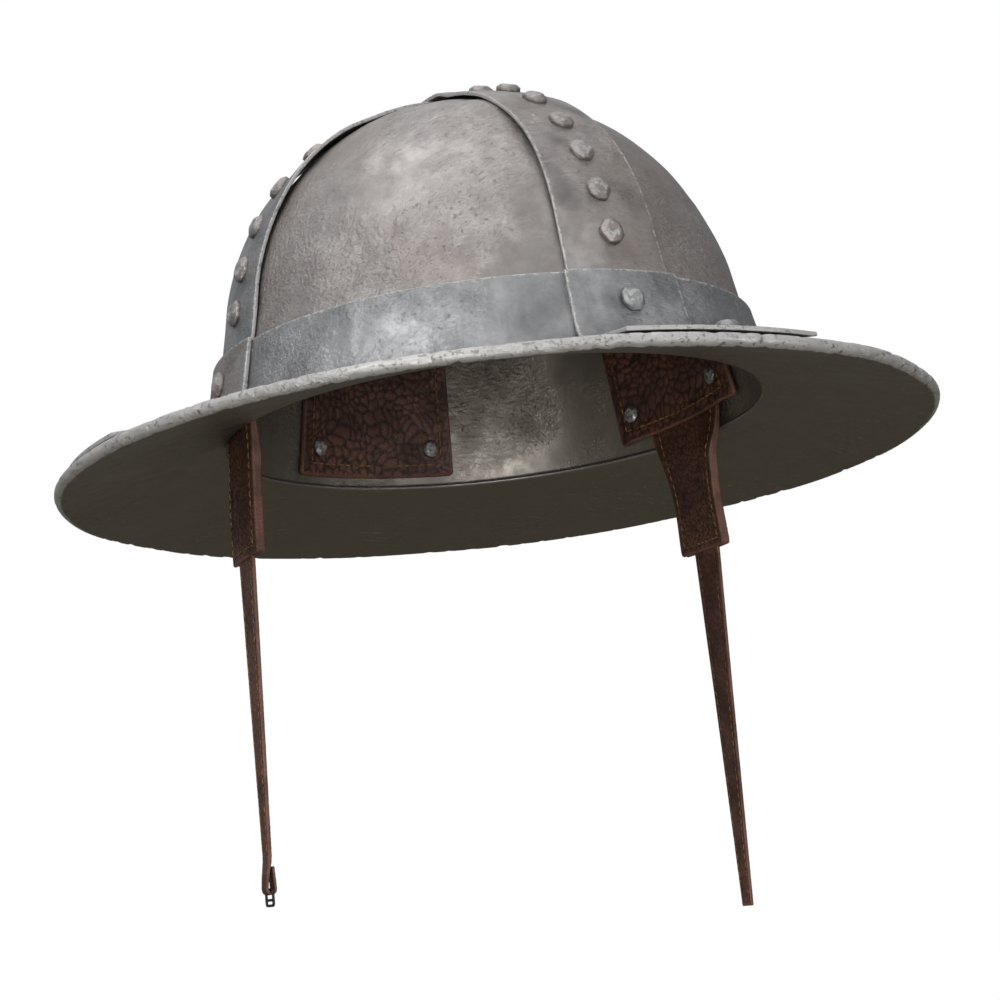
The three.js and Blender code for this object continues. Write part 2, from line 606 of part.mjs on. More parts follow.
// A rivet on the middle of a strap, along the chord between the strap's points under its two edges
function strapRivet(name, along, middle, riseAt, material) {
  const reach = THREE.MathUtils.radToDeg(RIVET_RADIUS / EQUATOR_RADIUS);
  const tilt = Math.abs(riseAt(along + reach) - riseAt(along - reach));
  const surface = 2 * GAP + STRAP_SHEET + RIVET_TILT_ALLOWANCE * tilt;
  const behind = strapPoint(along - reach, middle, surface + riseAt(along - reach));
  const ahead = strapPoint(along + reach, middle, surface + riseAt(along + reach));
  const direction = new THREE.Vector3(1, 0, 0).cross(ahead.clone().sub(behind)).normalize();
  const rivet = piece(name, rivetGeometry(RIVET_RADIUS, RIVET_HEIGHT), material);
  return seat(rivet, ahead.add(behind).multiplyScalar(0.5), direction);
}

const backElevations = CROWN_RIVET_ELEVATIONS.toReversed().map((elevation) => 180 - elevation);
[...CROWN_RIVET_ELEVATIONS, 90, ...backElevations].forEach((along, order) => {
  hat.add(strapRivet(`crown_rivet_${order + 1}`, along, 0, crossingRise, steel));
});
SIDE_RIVET_ELEVATIONS.forEach((along, order) => {
  addTurned(
    90,
    strapRivet(`left_rivet_${order + 1}`, along, SIDE_STRAP_SETBACK, flat, darkSteel),
    strapRivet(`right_rivet_${order + 1}`, 180 - along, SIDE_STRAP_SETBACK, flat, darkSteel),
  );
});

const sidePatch = { lowerZ: SIDE_PATCH_Z, overTab: true };
const patches = [
  { name: 'patch_back', azimuth: BACK_PATCH_AZIMUTH, lowerZ: BACK_PATCH_Z, overTab: false, tilt: 0 },
  { name: 'patch_left', azimuth: TAB_AZIMUTH, tilt: -SIDE_PATCH_TILT, ...sidePatch },
  { name: 'patch_right', azimuth: -TAB_AZIMUTH, tilt: SIDE_PATCH_TILT, ...sidePatch },
];
for (const patch of patches) {
  const wall = piece(patch.name, patchGeometry(patch), leather);
  addTurned(patch.azimuth, wall, ...patchRivets(patch));
}

const leftHolder = strapHolder(1);
const freeStrap = flatStrapGeometry([...CHIN_STRAP_SECTIONS, FREE_STRAP_END]);
leftHolder.add(piece('chin_strap_left', freeStrap, leather));
addTurned(TAB_AZIMUTH, piece('strap_tab_left', tabGeometry(1), leather), leftHolder);

const rightHolder = strapHolder(-1);
rightHolder.add(piece('chin_strap_right', loopStrapGeometry(), leather));
rightHolder.add(piece('buckle', buckleGeometry(), blackSteel));
addTurned(-TAB_AZIMUTH, piece('strap_tab_right', tabGeometry(-1), leather), rightHolder);

export default hat;
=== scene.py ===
# %% [markdown]
# # A riveted kettle hat
# A kettle hat is a steel war hat: a raised dome on a wide sloping brim. Two crossed straps, a brow
# band and four angle plates tie this one together, and leather patches, tabs and chin straps hang
# inside it. The frame holds every piece at its true size. Each step below puts a finer, worn
# surface where one of those pieces is, worked out as whole arrays on a grid of two parameters.

import bpy
import numpy as np
from mathutils import Matrix, Vector


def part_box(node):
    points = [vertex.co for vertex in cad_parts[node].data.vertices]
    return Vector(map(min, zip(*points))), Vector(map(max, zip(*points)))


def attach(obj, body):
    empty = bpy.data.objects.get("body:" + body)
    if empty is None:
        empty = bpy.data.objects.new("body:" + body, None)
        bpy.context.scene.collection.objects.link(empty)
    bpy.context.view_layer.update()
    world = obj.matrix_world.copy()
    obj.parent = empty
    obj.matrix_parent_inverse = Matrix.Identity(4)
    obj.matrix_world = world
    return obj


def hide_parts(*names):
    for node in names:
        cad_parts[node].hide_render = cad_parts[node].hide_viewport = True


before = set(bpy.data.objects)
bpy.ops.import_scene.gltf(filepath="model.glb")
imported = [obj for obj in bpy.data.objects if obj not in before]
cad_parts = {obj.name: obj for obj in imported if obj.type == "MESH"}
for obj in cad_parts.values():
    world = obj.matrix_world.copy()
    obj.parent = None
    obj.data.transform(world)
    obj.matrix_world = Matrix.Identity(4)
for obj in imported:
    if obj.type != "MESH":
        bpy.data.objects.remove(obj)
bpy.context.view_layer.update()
print("the frame has", len(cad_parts), "nodes")

# %% [markdown]
# ## The form that all the pieces share
# A smith would raise the dome over a stake and check it against one template. Here that template
# is a handful of formulas: a cone for the wall, a slightly squared ellipsoid for the dome and two
# tangents for the brim. Meshes copied from the frame would give the same places, but only formulas
# can be evaluated as finely as each surface needs.

# %% Sizes of the dome and the brim
MM = 0.001
GAP = 0.4 * MM  # the frame keeps this much air between pieces
OPENING_RADIUS = 113.4 * MM
BRIM_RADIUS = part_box("brim")[1].x
RIM_RADIUS = 2.68 * MM
RIM_DROP = 14.85 * MM
BRIM_SHEET = 2 * MM
SKULL_SHEET = 1.8 * MM
EQUATOR_RADIUS = 109.8 * MM
POLE_RADIUS = 115.4 * MM
DOME_POWER = 2.07  # 2 would be a true ellipsoid, and more is fuller at the shoulders
EQUATOR_Z = 25.15 * MM
WALL_TOP_Z = 54.4 * MM
WALL_FLARE = 0.21  # the wall widens by this share of each step down

WALL_TOP_SHARE = (WALL_TOP_Z - EQUATOR_Z) / POLE_RADIUS
WALL_TOP_RADIUS = EQUATOR_RADIUS * (1 - WALL_TOP_SHARE**DOME_POWER) ** (1 / DOME_POWER)
WALL_SLANT = np.hypot(1, WALL_FLARE)
WALL_TOP_ELEVATION = np.arctan2(WALL_TOP_Z - EQUATOR_Z, WALL_TOP_RADIUS)
RIM_CENTRE = np.array([BRIM_RADIUS - RIM_RADIUS, -RIM_DROP])


def tangent_angle(z, side):
    """Angle of the line from the opening's edge at height z that touches the rim's circle, from
    above (side 1) or below (side -1): the angle to the centre plus or minus asin(radius / distance)."""
    across, up = RIM_CENTRE - [OPENING_RADIUS, z]
    return np.arctan2(up, across) + side * np.arcsin(RIM_RADIUS / np.hypot(across, up))


UNDERSIDE_ANGLE = tangent_angle(0, -1)
TOP_ANGLE = tangent_angle(BRIM_SHEET, 1)
TOP_SLOPE = np.tan(TOP_ANGLE)
TOP_SLANT = np.hypot(1, TOP_SLOPE)
print("the brim slopes down by", round(float(np.degrees(-TOP_ANGLE)), 1), "degrees")


# %% Formulas of the dome and the brim
def wall_radius(z, offset):
    """Radius of the wall at height z, moved out by offset square to it: a cone."""
    return WALL_TOP_RADIUS + WALL_FLARE * (WALL_TOP_Z - z) + offset * WALL_SLANT


def shell_radius(z, offset):
    """Radius of the crown at height z: the wall's cone, and above it the dome's radius,
    a * (1 - (height / b)^p)^(1 / p), with offset added to both half axes."""
    height = np.clip((z - EQUATOR_Z) / (POLE_RADIUS + offset), 0, 1)
    dome = (EQUATOR_RADIUS + offset) * (1 - height**DOME_POWER) ** (1 / DOME_POWER)
    return np.where(z <= WALL_TOP_Z, wall_radius(z, offset), dome)


def shell_reach(elevation, offset):
    """Distance from the dome's centre to the crown along a ray at an elevation: to the cone for a
    low ray, and ((cos / a)^p + (sin / b)^p)^(-1 / p) for one that meets the dome."""
    across, up = np.cos(elevation), np.sin(elevation)
    wall = wall_radius(EQUATOR_Z, offset) / (across + WALL_FLARE * up)
    flat = (across / (EQUATOR_RADIUS + offset)) ** DOME_POWER
    steep = (np.abs(up) / (POLE_RADIUS + offset)) ** DOME_POWER
    dome = (flat + steep) ** (-1 / DOME_POWER)
    return np.where(elevation < WALL_TOP_ELEVATION, wall, dome)


def brim_top(radius):
    """Height of the brim's top, a straight slope from the opening's edge."""
    return BRIM_SHEET + (radius - OPENING_RADIUS) * TOP_SLOPE


def wall_foot(offset, lift):
    """Height where the wall, moved out by offset, meets the brim's top, moved up by lift: the
    crossing of two straight lines."""
    rise = wall_radius(0, offset) - OPENING_RADIUS
    return (BRIM_SHEET + lift * TOP_SLANT + rise * TOP_SLOPE) / (1 + WALL_FLARE * TOP_SLOPE)


def polar(radius, azimuth, z):
    """Points at a distance from the axis, turned by azimuth from the front (-Y) towards +X."""
    radius, azimuth, z = np.broadcast_arrays(radius, azimuth, z)
    return np.stack([radius * np.sin(azimuth), -radius * np.cos(azimuth), z], axis=-1)


def turned(points, azimuth):
    """Points turned about the hat's axis by azimuth, in radians."""
    c, s = np.cos(azimuth), np.sin(azimuth)
    return points @ np.array([[c, s, 0], [-s, c, 0], [0, 0, 1]])


def smoothstep(x, low, high):
    """0 below low, 1 above high and 3u^2 - 2u^3 between them."""
    u = np.clip((x - low) / (high - low), 0, 1)
    return u * u * (3 - 2 * u)


def unevenness(points, size, seed):
    """A smooth random field, mostly between -1 and 1, with swells about size across: the sum of
    sine waves in random directions."""
    waves = 24
    rng = np.random.default_rng(seed)
    directions = rng.normal(size=(waves, 3))
    lengths = size * rng.uniform(0.7, 1.6, (waves, 1))
    directions *= 2 * np.pi / lengths / np.linalg.norm(directions, axis=1, keepdims=True)
    phases = rng.uniform(0, 2 * np.pi, waves)
    return np.sin(points @ directions.T + phases).sum(axis=-1) / np.sqrt(waves)


print("a dome of", round(2 * EQUATOR_RADIUS / MM), "mm on a brim of", round(2 * BRIM_RADIUS / MM), "mm")

# %% [markdown]
# ## From arrays to pieces
# A surface is a grid of points, and its faces join neighbouring rows and columns. Blender could
# build the same with its lathe and solidify tools, but with arrays the worn edges and leather
# grooves are known at every point, so they are stored as marks for the materials to read.


# %% Faces, shapes and pieces
def grid_quads(ids):
    """Faces between neighbouring rows and columns of a grid of vertex numbers."""
    corners = [ids[:-1, :-1], ids[1:, :-1], ids[1:, 1:], ids[:-1, 1:]]
    return np.stack(corners, axis=-1).reshape(-1, 4)


def closed_ring(ids):
    """The same grid with its first column repeated at the end, so that its faces go all round."""
    return np.column_stack([ids, ids[:, :1]])


def fan(middle, ring):
    """Triangles from one vertex to each step of a closed ring of vertex numbers."""
    return np.stack([np.full(len(ring) - 1, middle), ring[:-1], ring[1:]], axis=-1)


def shape(points, quads, triangles=(), **marks):
    """A closed surface as arrays. Its faces are turned round if the enclosed volume, the sum of
    a . (b x c) over all triangles, is negative."""
    points = points.reshape(-1, 3)
    triangles = np.reshape(triangles, (-1, 3)).astype(int)
    halves = np.concatenate([quads[:, [0, 1, 2]], quads[:, [0, 2, 3]], triangles])
    a, b, c = points[halves].transpose(1, 0, 2)
    if np.einsum("ij,ij->", a - points[0], np.cross(b - points[0], c - points[0])) < 0:
        quads, triangles = quads[:, ::-1], triangles[:, ::-1]
    marks = {mark: np.ravel(values) for mark, values in marks.items()}
    return {"points": points, "quads": quads, "triangles": triangles, "marks": marks}


def joined(shapes):
    """Several shapes as one, each one's vertex numbers moved past those before it."""
    starts = np.cumsum([0] + [len(part["points"]) for part in shapes])
    together = {
        key: np.concatenate([part[key] + start for part, start in zip(shapes, starts)])
        for key in ("quads", "triangles")
    }
    together["points"] = np.concatenate([part["points"] for part in shapes])
    together["marks"] = {
        mark: np.concatenate([part["marks"][mark] for part in shapes]) for mark in shapes[0]["marks"]
    }
    return together


def add_piece(name, made, material, replaced=()):
    """Puts a shape into the scene as an object at the origin that stands for the named nodes."""
    mesh = bpy.data.meshes.new(name)
    faces = made["quads"].tolist() + made["triangles"].tolist()
    mesh.from_pydata(made["points"].tolist(), [], faces)
    for mark, values in made["marks"].items():
        attribute = mesh.attributes.new(mark, "FLOAT", "POINT")
        attribute.data.foreach_set("value", values.astype(np.float32))
    mesh.shade_smooth()
    mesh.materials.append(material)
    piece = bpy.data.objects.new(name, mesh)
    bpy.context.scene.collection.objects.link(piece)
    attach(piece, "root")
    if replaced:
        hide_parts(*replaced)
    print(name, "has", len(faces), "faces")
    return piece


# %% [markdown]
# ## A sheet with rounded edges
# Bands, straps, plates and leather are all sheets. Solidify and Bevel would do for flat ones, but
# these bend, taper and carry relief. So one function makes both faces from the same grid, brings
# them together in a quarter circle along the outline and joins them by a wall.

# %% Sheet with rounded edges
EDGE_STEPS = 4
GROOVE_DEPTH = 0.3 * MM  # relief this deep counts as a full groove
STEEL_STEP = 1.4 * MM  # between the points of a band or a plate
STEEL_EDGE = 0.45 * MM  # radius of a steel sheet's edges
EDGE_WEAR = 1.1 * MM  # wear reaches this far in from them


def edge_lines(length, step, edge):
    """Positions from 0 to length, on a quarter circle's steps near both ends and step apart between."""
    turn = edge * (1 - np.cos(np.linspace(0, np.pi / 2, EDGE_STEPS + 1)))
    count = max(2, round((length - 2 * edge) / step) + 1)
    middle = np.linspace(edge, length - edge, count)
    return np.concatenate([turn[:-1], middle, length - turn[-2::-1]])


def quarter_drop(inset, radius):
    """How far a quarter circle of a radius has dropped at a distance in from its edge."""
    return radius - np.sqrt(np.maximum(radius**2 - np.maximum(radius - inset, 0) ** 2, 0))


def plain(s, t, front):
    """No relief."""
    return np.zeros_like(s)


def hammered(depth, size, seed):
    """Relief of shallow hammer marks, about size across."""
    def relief(s, t, front):
        return depth * unevenness(np.stack([s, t, 0 * s], axis=-1), size, seed)

    return relief


def sheet(place, size, thickness, step, edge, corner=0.0, wear=MM, relief=plain, seam=0.0):
    """A closed sheet: place(s, t, h) puts the point s along, t across and h above the back.
    The faces drop by quarter_drop within edge of the outline, whose corners are rounded the same
    way. relief(s, t, front) raises a face, and seam is the depth of a line round the wall."""
    length, width = size
    s, t = np.meshgrid(edge_lines(length, step, edge), edge_lines(width, step, edge), indexing="ij")
    end = np.minimum(s, length - s)
    half = width / 2 - quarter_drop(end, corner)
    t = width / 2 + (t - width / 2) * half / (width / 2)
    inset = np.minimum(end, half - np.abs(t - width / 2))
    drop = quarter_drop(inset, edge)
    inner = smoothstep(inset, 0, 2 * edge)
    raised = [relief(s, t, front) * inner for front in (True, False)]
    front = place(s, t, thickness - drop + raised[0])
    back = place(s, t, drop - raised[1])
    ids = np.arange(s.size).reshape(s.shape)
    ring = np.concatenate([ids[0, :-1], ids[:-1, -1], ids[-1, :0:-1], ids[:0:-1, 0]])
    line = [length / 2 + (s.ravel()[ring] - length / 2) * (1 - 2 * seam / length)]
    line.append(width / 2 + (t.ravel()[ring] - width / 2) * (1 - 2 * seam / width))
    middle = place(*line, np.full(len(ring), thickness / 2))
    wall = np.stack([ring, 2 * s.size + np.arange(len(ring)), s.size + ring])
    wall = grid_quads(closed_ring(wall))[:, ::-1]
    quads = np.concatenate([grid_quads(ids), grid_quads(ids + s.size)[:, ::-1], wall])
    points = np.concatenate([part.reshape(-1, 3) for part in (front, back, middle)])
    worn = 1 - smoothstep(inset, 0, wear)
    grooves = [np.clip(-rise / GROOVE_DEPTH, 0, 1).ravel() for rise in raised]
    return shape(
        points,
        quads,
        wear=np.concatenate([worn.ravel(), worn.ravel(), np.ones(len(ring))]),
        groove=np.concatenate([*grooves, np.zeros(len(ring))]),
        under=np.zeros(len(points)),
    )


print("a sheet's edge turns in", 2 * EDGE_STEPS, "steps")

# %% [markdown]
# ## Finishes
# Old sheet steel is grey with brown stains, pits and scratches, and bright where hands and knocks
# polish its edges. Leather shows pebbles with dark grooves. Image textures could give this, but
# noise on Object coordinates needs no files and wraps every piece alike. The marks on the meshes
# say where an edge is worn, where a groove runs and which steel faces down or into the crown,
# where a darker, browner colour is painted on as shade.


# %% Helpers for node trees
def feed(tree, socket, value):
    """Links a socket to an output, or sets it to a constant."""
    if isinstance(value, bpy.types.NodeSocket):
        tree.links.new(value, socket)
    else:
        socket.default_value = value


def node(tree, kind, inputs, **settings):
    """Adds a node with its settings and inputs."""
    made = tree.nodes.new(kind)
    for setting, value in settings.items():
        setattr(made, setting, value)
    for socket, value in inputs.items():
        feed(tree, made.inputs[socket], value)
    return made


def stretched(tree, scale, turn=(0, 0, 0)):
    """Object coordinates, scaled along each axis and then turned."""
    coordinates = node(tree, "ShaderNodeTexCoord", {}).outputs["Object"]
    inputs = {"Vector": coordinates, "Rotation": turn, "Scale": scale}
    return node(tree, "ShaderNodeMapping", inputs).outputs[0]


def noise(tree, place, scale, detail=4.0, roughness=0.55, distortion=0.0):
    """Cloudy noise with scale swells to the metre."""
    inputs = {"Vector": place, "Scale": scale, "Detail": detail}
    inputs.update({"Roughness": roughness, "Distortion": distortion})
    return node(tree, "ShaderNodeTexNoise", inputs).outputs["Fac"]


def cells(tree, place, scale, feature="F1"):
    """Distance to the nearest of scattered points, or to the edge between two of them."""
    inputs = {"Vector": place, "Scale": scale}
    return node(tree, "ShaderNodeTexVoronoi", inputs, feature=feature).outputs["Distance"]


def between(tree, value, low, high, start=0.0, end=1.0):
    """start where value is low, end where it is high, and smooth between them."""
    inputs = {"Value": value, "From Min": low, "From Max": high, "To Min": start, "To Max": end}
    return node(tree, "ShaderNodeMapRange", inputs, interpolation_type="SMOOTHSTEP").outputs[0]


def maths(tree, operation, *values):
    """One arithmetic operation on two or three values."""
    return node(tree, "ShaderNodeMath", dict(enumerate(values)), operation=operation).outputs[0]


def mix(tree, share, first, second):
    """A share of the second colour over the first."""
    mixer = node(tree, "ShaderNodeMix", {0: share, 6: first, 7: second}, data_type="RGBA")
    return mixer.outputs[2]


def mark(tree, name):
    """A mark that the mesh carries at each point."""
    return node(tree, "ShaderNodeAttribute", {}, attribute_name=name).outputs["Fac"]


def bump(tree, height, distance, below=None):
    """Small relief of a height, on top of the relief below it."""
    inputs = {"Height": height, "Distance": distance, "Strength": 1.0}
    if below is not None:
        inputs["Normal"] = below
    return node(tree, "ShaderNodeBump", inputs).outputs["Normal"]


def new_finish(name):
    """A material, its node tree and its main shader."""
    material = bpy.data.materials.new(name)
    material.use_nodes = True
    return material, material.node_tree, material.node_tree.nodes["Principled BSDF"]


# %% Steel
WORN_STEEL = (0.5, 0.49, 0.475, 1)
PIT_STEEL = (0.06, 0.056, 0.052, 1)
# painted shade: the darker, browner colour of the brim's underside and the inside of the crown
UNDER_SHADE_STEEL = (0.215, 0.196, 0.16, 1)


def steel_finish(name, light, dark, stain, stain_share, streak_share):
    """Mottled steel: noise mixes its light and dark tones, then come large stains, upright streaks,
    chips, scratches, grime in the hammered hollows and a darker tone at the foot of rivet heads.
    Faces marked as under take a darker, browner colour, which is painted shade. Marked edges are
    worn bright, in flakes that thin out as the mark fades."""
    material, tree, surface = new_finish(name)
    place = stretched(tree, (1, 1, 1))
    swells = noise(tree, place, 13, 4, 0.55, 0.6)
    mottle = noise(tree, place, 95, 8, 0.68)
    dents = noise(tree, place, 55, 3, 0.5)
    grain = noise(tree, place, 900, 4, 0.65)
    wrinkles = noise(tree, stretched(tree, (170, 520, 520), (0.5, 0.9, 0.3)), 1, 6, 0.62, 0.4)
    chips = noise(tree, place, 460, 5, 0.62)
    scratches = noise(tree, stretched(tree, (60, 900, 900), (0.9, 0.4, 0.5)), 1, 4, 0.6, 0.3)
    streaks = noise(tree, stretched(tree, (90, 90, 14)), 1, 5, 0.6)
    corroded = between(tree, noise(tree, place, 17, 3, 0.5), 0.36, 0.62)

    colour = mix(tree, between(tree, mottle, 0.3, 0.7), dark, light)
    colour = mix(tree, between(tree, swells, 0.42, 0.68, 0, stain_share), colour, stain)
    colour = mix(tree, between(tree, streaks, 0.5, 0.72, 0, streak_share), colour, PIT_STEEL)
    # painted shade: faces marked as under are mixed towards the darker, browner underside colour
    colour = mix(tree, mark(tree, "under"), colour, UNDER_SHADE_STEEL)
    chipped = maths(tree, "MULTIPLY", between(tree, chips, 0.6, 0.68), corroded)
    colour = mix(tree, maths(tree, "MULTIPLY", chipped, 0.3), colour, PIT_STEEL)
    scratched = maths(tree, "MULTIPLY", between(tree, scratches, 0.62, 0.68, 0, 0.5), corroded)
    colour = mix(tree, scratched, colour, WORN_STEEL)
    colour = mix(tree, maths(tree, "MULTIPLY", mark(tree, "groove"), 0.7), colour, PIT_STEEL)
    edge = mark(tree, "wear")
    flaked = between(tree, maths(tree, "MULTIPLY_ADD", edge, 0.3, chips), 0.66, 0.74, 0.1, 1)
    worn = maths(tree, "MULTIPLY", flaked, between(tree, edge, 0, 0.6))
    colour = mix(tree, worn, colour, WORN_STEEL)
    feed(tree, surface.inputs["Base Color"], colour)

    feed(tree, surface.inputs["Roughness"], between(tree, mottle, 0.3, 0.7, 0.5, 0.36))
    feed(tree, surface.inputs["Metallic"], between(tree, worn, 0, 1, 0.85, 0.4))
    relief = bump(tree, dents, 0.3 * MM)
    relief = bump(tree, maths(tree, "MULTIPLY", wrinkles, corroded), 1.2 * MM, relief)
    relief = bump(tree, maths(tree, "SUBTRACT", worn, chipped), 0.2 * MM, relief)
    relief = bump(tree, grain, 0.07 * MM, relief)
    feed(tree, surface.inputs["Normal"], relief)
    return material


dome_steel = steel_finish(
    "dome_steel", (0.41, 0.385, 0.372, 1), (0.3, 0.278, 0.268, 1), (0.31, 0.25, 0.22, 1), 0.45, 0
)
band_steel = steel_finish(
    "band_steel", (0.4, 0.403, 0.408, 1), (0.27, 0.277, 0.285, 1), (0.18, 0.188, 0.196, 1), 0.4, 0.3
)
print("steel finishes:", dome_steel.name, band_steel.name)

# %% Leather, thread and blackened steel
DARK_LEATHER = (0.07, 0.029, 0.019, 1)
LIGHT_LEATHER = (0.15, 0.062, 0.041, 1)
GROOVE_LEATHER = (0.03, 0.012, 0.008, 1)
WORN_LEATHER = (0.2, 0.092, 0.066, 1)


def leather_finish():
    """Red-brown leather: noise mixes two tones, marked grooves are dark and edges rubbed lighter."""
    material, tree, surface = new_finish("strap_leather")
    place = stretched(tree, (1, 1, 1))
    mottle = noise(tree, place, 60, 6, 0.6)
    grain = cells(tree, place, 900)
    crease = noise(tree, stretched(tree, (700, 700, 160)), 1, 4)
    colour = mix(tree, between(tree, mottle, 0.35, 0.65), DARK_LEATHER, LIGHT_LEATHER)
    colour = mix(tree, mark(tree, "groove"), colour, GROOVE_LEATHER)
    rubbed = maths(tree, "MULTIPLY", mark(tree, "wear"), between(tree, mottle, 0.35, 0.6, 0.2, 0.75))
    colour = mix(tree, rubbed, colour, WORN_LEATHER)
    feed(tree, surface.inputs["Base Color"], colour)
    feed(tree, surface.inputs["Roughness"], between(tree, mottle, 0.3, 0.7, 0.62, 0.44))
    relief = bump(tree, grain, 0.12 * MM)
    relief = bump(tree, crease, 0.3 * MM, relief)
    feed(tree, surface.inputs["Normal"], relief)
    return material


def thread_finish():
    """Waxed ochre thread with darker stretches."""
    material, tree, surface = new_finish("ochre_thread")
    soiled = noise(tree, stretched(tree, (1, 1, 1)), 140, 5)
    dark, ochre = (0.1, 0.05, 0.016, 1), (0.3, 0.175, 0.06, 1)
    colour = mix(tree, between(tree, soiled, 0.35, 0.65), dark, ochre)
    feed(tree, surface.inputs["Base Color"], colour)
    surface.inputs["Roughness"].default_value = 0.7
    return material


def black_finish():
    """Blackened steel with a little brown in it."""
    material, tree, surface = new_finish("blackened_steel")
    scale = noise(tree, stretched(tree, (1, 1, 1)), 500, 5)
    black, brown = (0.016, 0.015, 0.014, 1), (0.05, 0.042, 0.036, 1)
    colour = mix(tree, between(tree, scale, 0.4, 0.65), black, brown)
    feed(tree, surface.inputs["Base Color"], colour)
    feed(tree, surface.inputs["Roughness"], between(tree, scale, 0.3, 0.7, 0.35, 0.6))
    surface.inputs["Metallic"].default_value = 0.7
    feed(tree, surface.inputs["Normal"], bump(tree, scale, 0.1 * MM))
    return material


leather = leather_finish()
thread = thread_finish()
black_steel = black_finish()
print("other finishes:", leather.name, thread.name, black_steel.name)

# %% [markdown]
# ## The skull
# The skull is one sheet, raised with a hammer, so its wall is even and its surface isn't. A UV
# sphere would pinch the hammer marks at its pole. Here a profile goes from the top outside, down
# round the foot and up again inside, it is carried round the axis, and shallow dents are pressed
# into both faces.

# %% Skull
SKULL_SEGMENTS = 320
DOME_ROWS = 80
WALL_ROWS = 26
SWELL_DEPTH = 0.45 * MM  # long swells and short hammer marks, with their sizes
SWELL_SIZE = 45 * MM
MARK_DEPTH = 0.22 * MM
MARK_SIZE = 17 * MM
MARK_TOP = 0.3  # marks are cut off above this share, so that they mostly go inwards
INSIDE_SHARE = 0.4  # share of the outside's dents that shows inside
INSIDE_SHADE_SHARE = 0.6  # share of the underside's painted shade that the inside of the crown gets


def skull_profile(offset, foot):
    """Radius and height down one face: steps of equal elevation on the dome, then equal heights on
    the wall."""
    elevation = np.linspace(np.pi / 2, WALL_TOP_ELEVATION, DOME_ROWS + 1)[1:]
    reach = shell_reach(elevation, offset)
    z = np.linspace(WALL_TOP_Z, foot, WALL_ROWS + 1)[1:]
    radius = np.concatenate([reach * np.cos(elevation), wall_radius(z, offset)])
    return radius, np.concatenate([EQUATOR_Z + reach * np.sin(elevation), z])


def make_skull():
    """Outside and inside profiles carried round the axis. Each point moves along the ray from the
    dome's centre by the hammer marks, which mostly go inwards."""
    faces = [skull_profile(offset, wall_foot(offset, 0)) for offset in (0, -SKULL_SHEET)]
    radius = np.concatenate([faces[0][0], faces[1][0][::-1]])
    z = np.concatenate([faces[0][1], faces[1][1][::-1]])
    share = np.repeat([1, INSIDE_SHARE], len(faces[0][0]))[:, None, None]
    azimuth = np.linspace(0, 2 * np.pi, SKULL_SEGMENTS, endpoint=False)
    points = polar(radius[:, None], azimuth, z[:, None])
    centre = np.array([0, 0, EQUATOR_Z])
    ray = points - centre
    ray /= np.linalg.norm(ray, axis=-1, keepdims=True)
    on_skull = centre + ray * EQUATOR_RADIUS
    swell = SWELL_DEPTH * (unevenness(on_skull, SWELL_SIZE, 1) - 1)
    dents = MARK_DEPTH * np.minimum(unevenness(on_skull, MARK_SIZE, 2), MARK_TOP)
    points = points + ray * share * (swell + dents)[..., None]
    rows = len(radius)
    ids = closed_ring(np.arange(rows * SKULL_SEGMENTS).reshape(rows, SKULL_SEGMENTS))
    poles = centre + np.array([[0, 0, POLE_RADIUS], [0, 0, POLE_RADIUS - SKULL_SHEET]])
    outside, inside = ids.max() + 1, ids.max() + 2
    caps = np.concatenate([fan(outside, ids[0]), fan(inside, ids[-1, ::-1])])
    points = np.concatenate([points.reshape(-1, 3), poles])
    # painted shade: the inside of the crown is marked for part of the underside's darker colour
    under = np.repeat([0, INSIDE_SHADE_SHARE], len(faces[0][0]))[:, None] * np.ones(SKULL_SEGMENTS)
    under = np.append(under, [0, INSIDE_SHADE_SHARE])
    return shape(points, grid_quads(ids), caps, wear=0 * under, groove=0 * under, under=under)


add_piece("finished_skull", make_skull(), dome_steel, ["skull"])

# %% [markdown]
# ## The brim
# The brim is beaten out of thick sheet and its rim is left round and knocked about. A torus for
# the rim would need joining to two cones. One closed profile does it all: the underside, the rim's
# arc, the top and the edge of the opening, with nicks pressed into the arc.

# %% Brim
BRIM_SEGMENTS = 720
SLOPE_ROWS = 22
RIM_ROWS = 18
OPENING_EDGE = 0.7 * MM
RIM_WEAR = 5 * MM  # wear fades out this far in from the rim
NICK_DEPTH = 0.34 * MM
NICK_SIZE = 7 * MM
BRIM_SWELL = 0.25 * MM
BRIM_SWELL_SIZE = 55 * MM
UNDER_ARC = (-1.75, -1.3)  # angles on the rim's arc between which the underside's painted shade ends
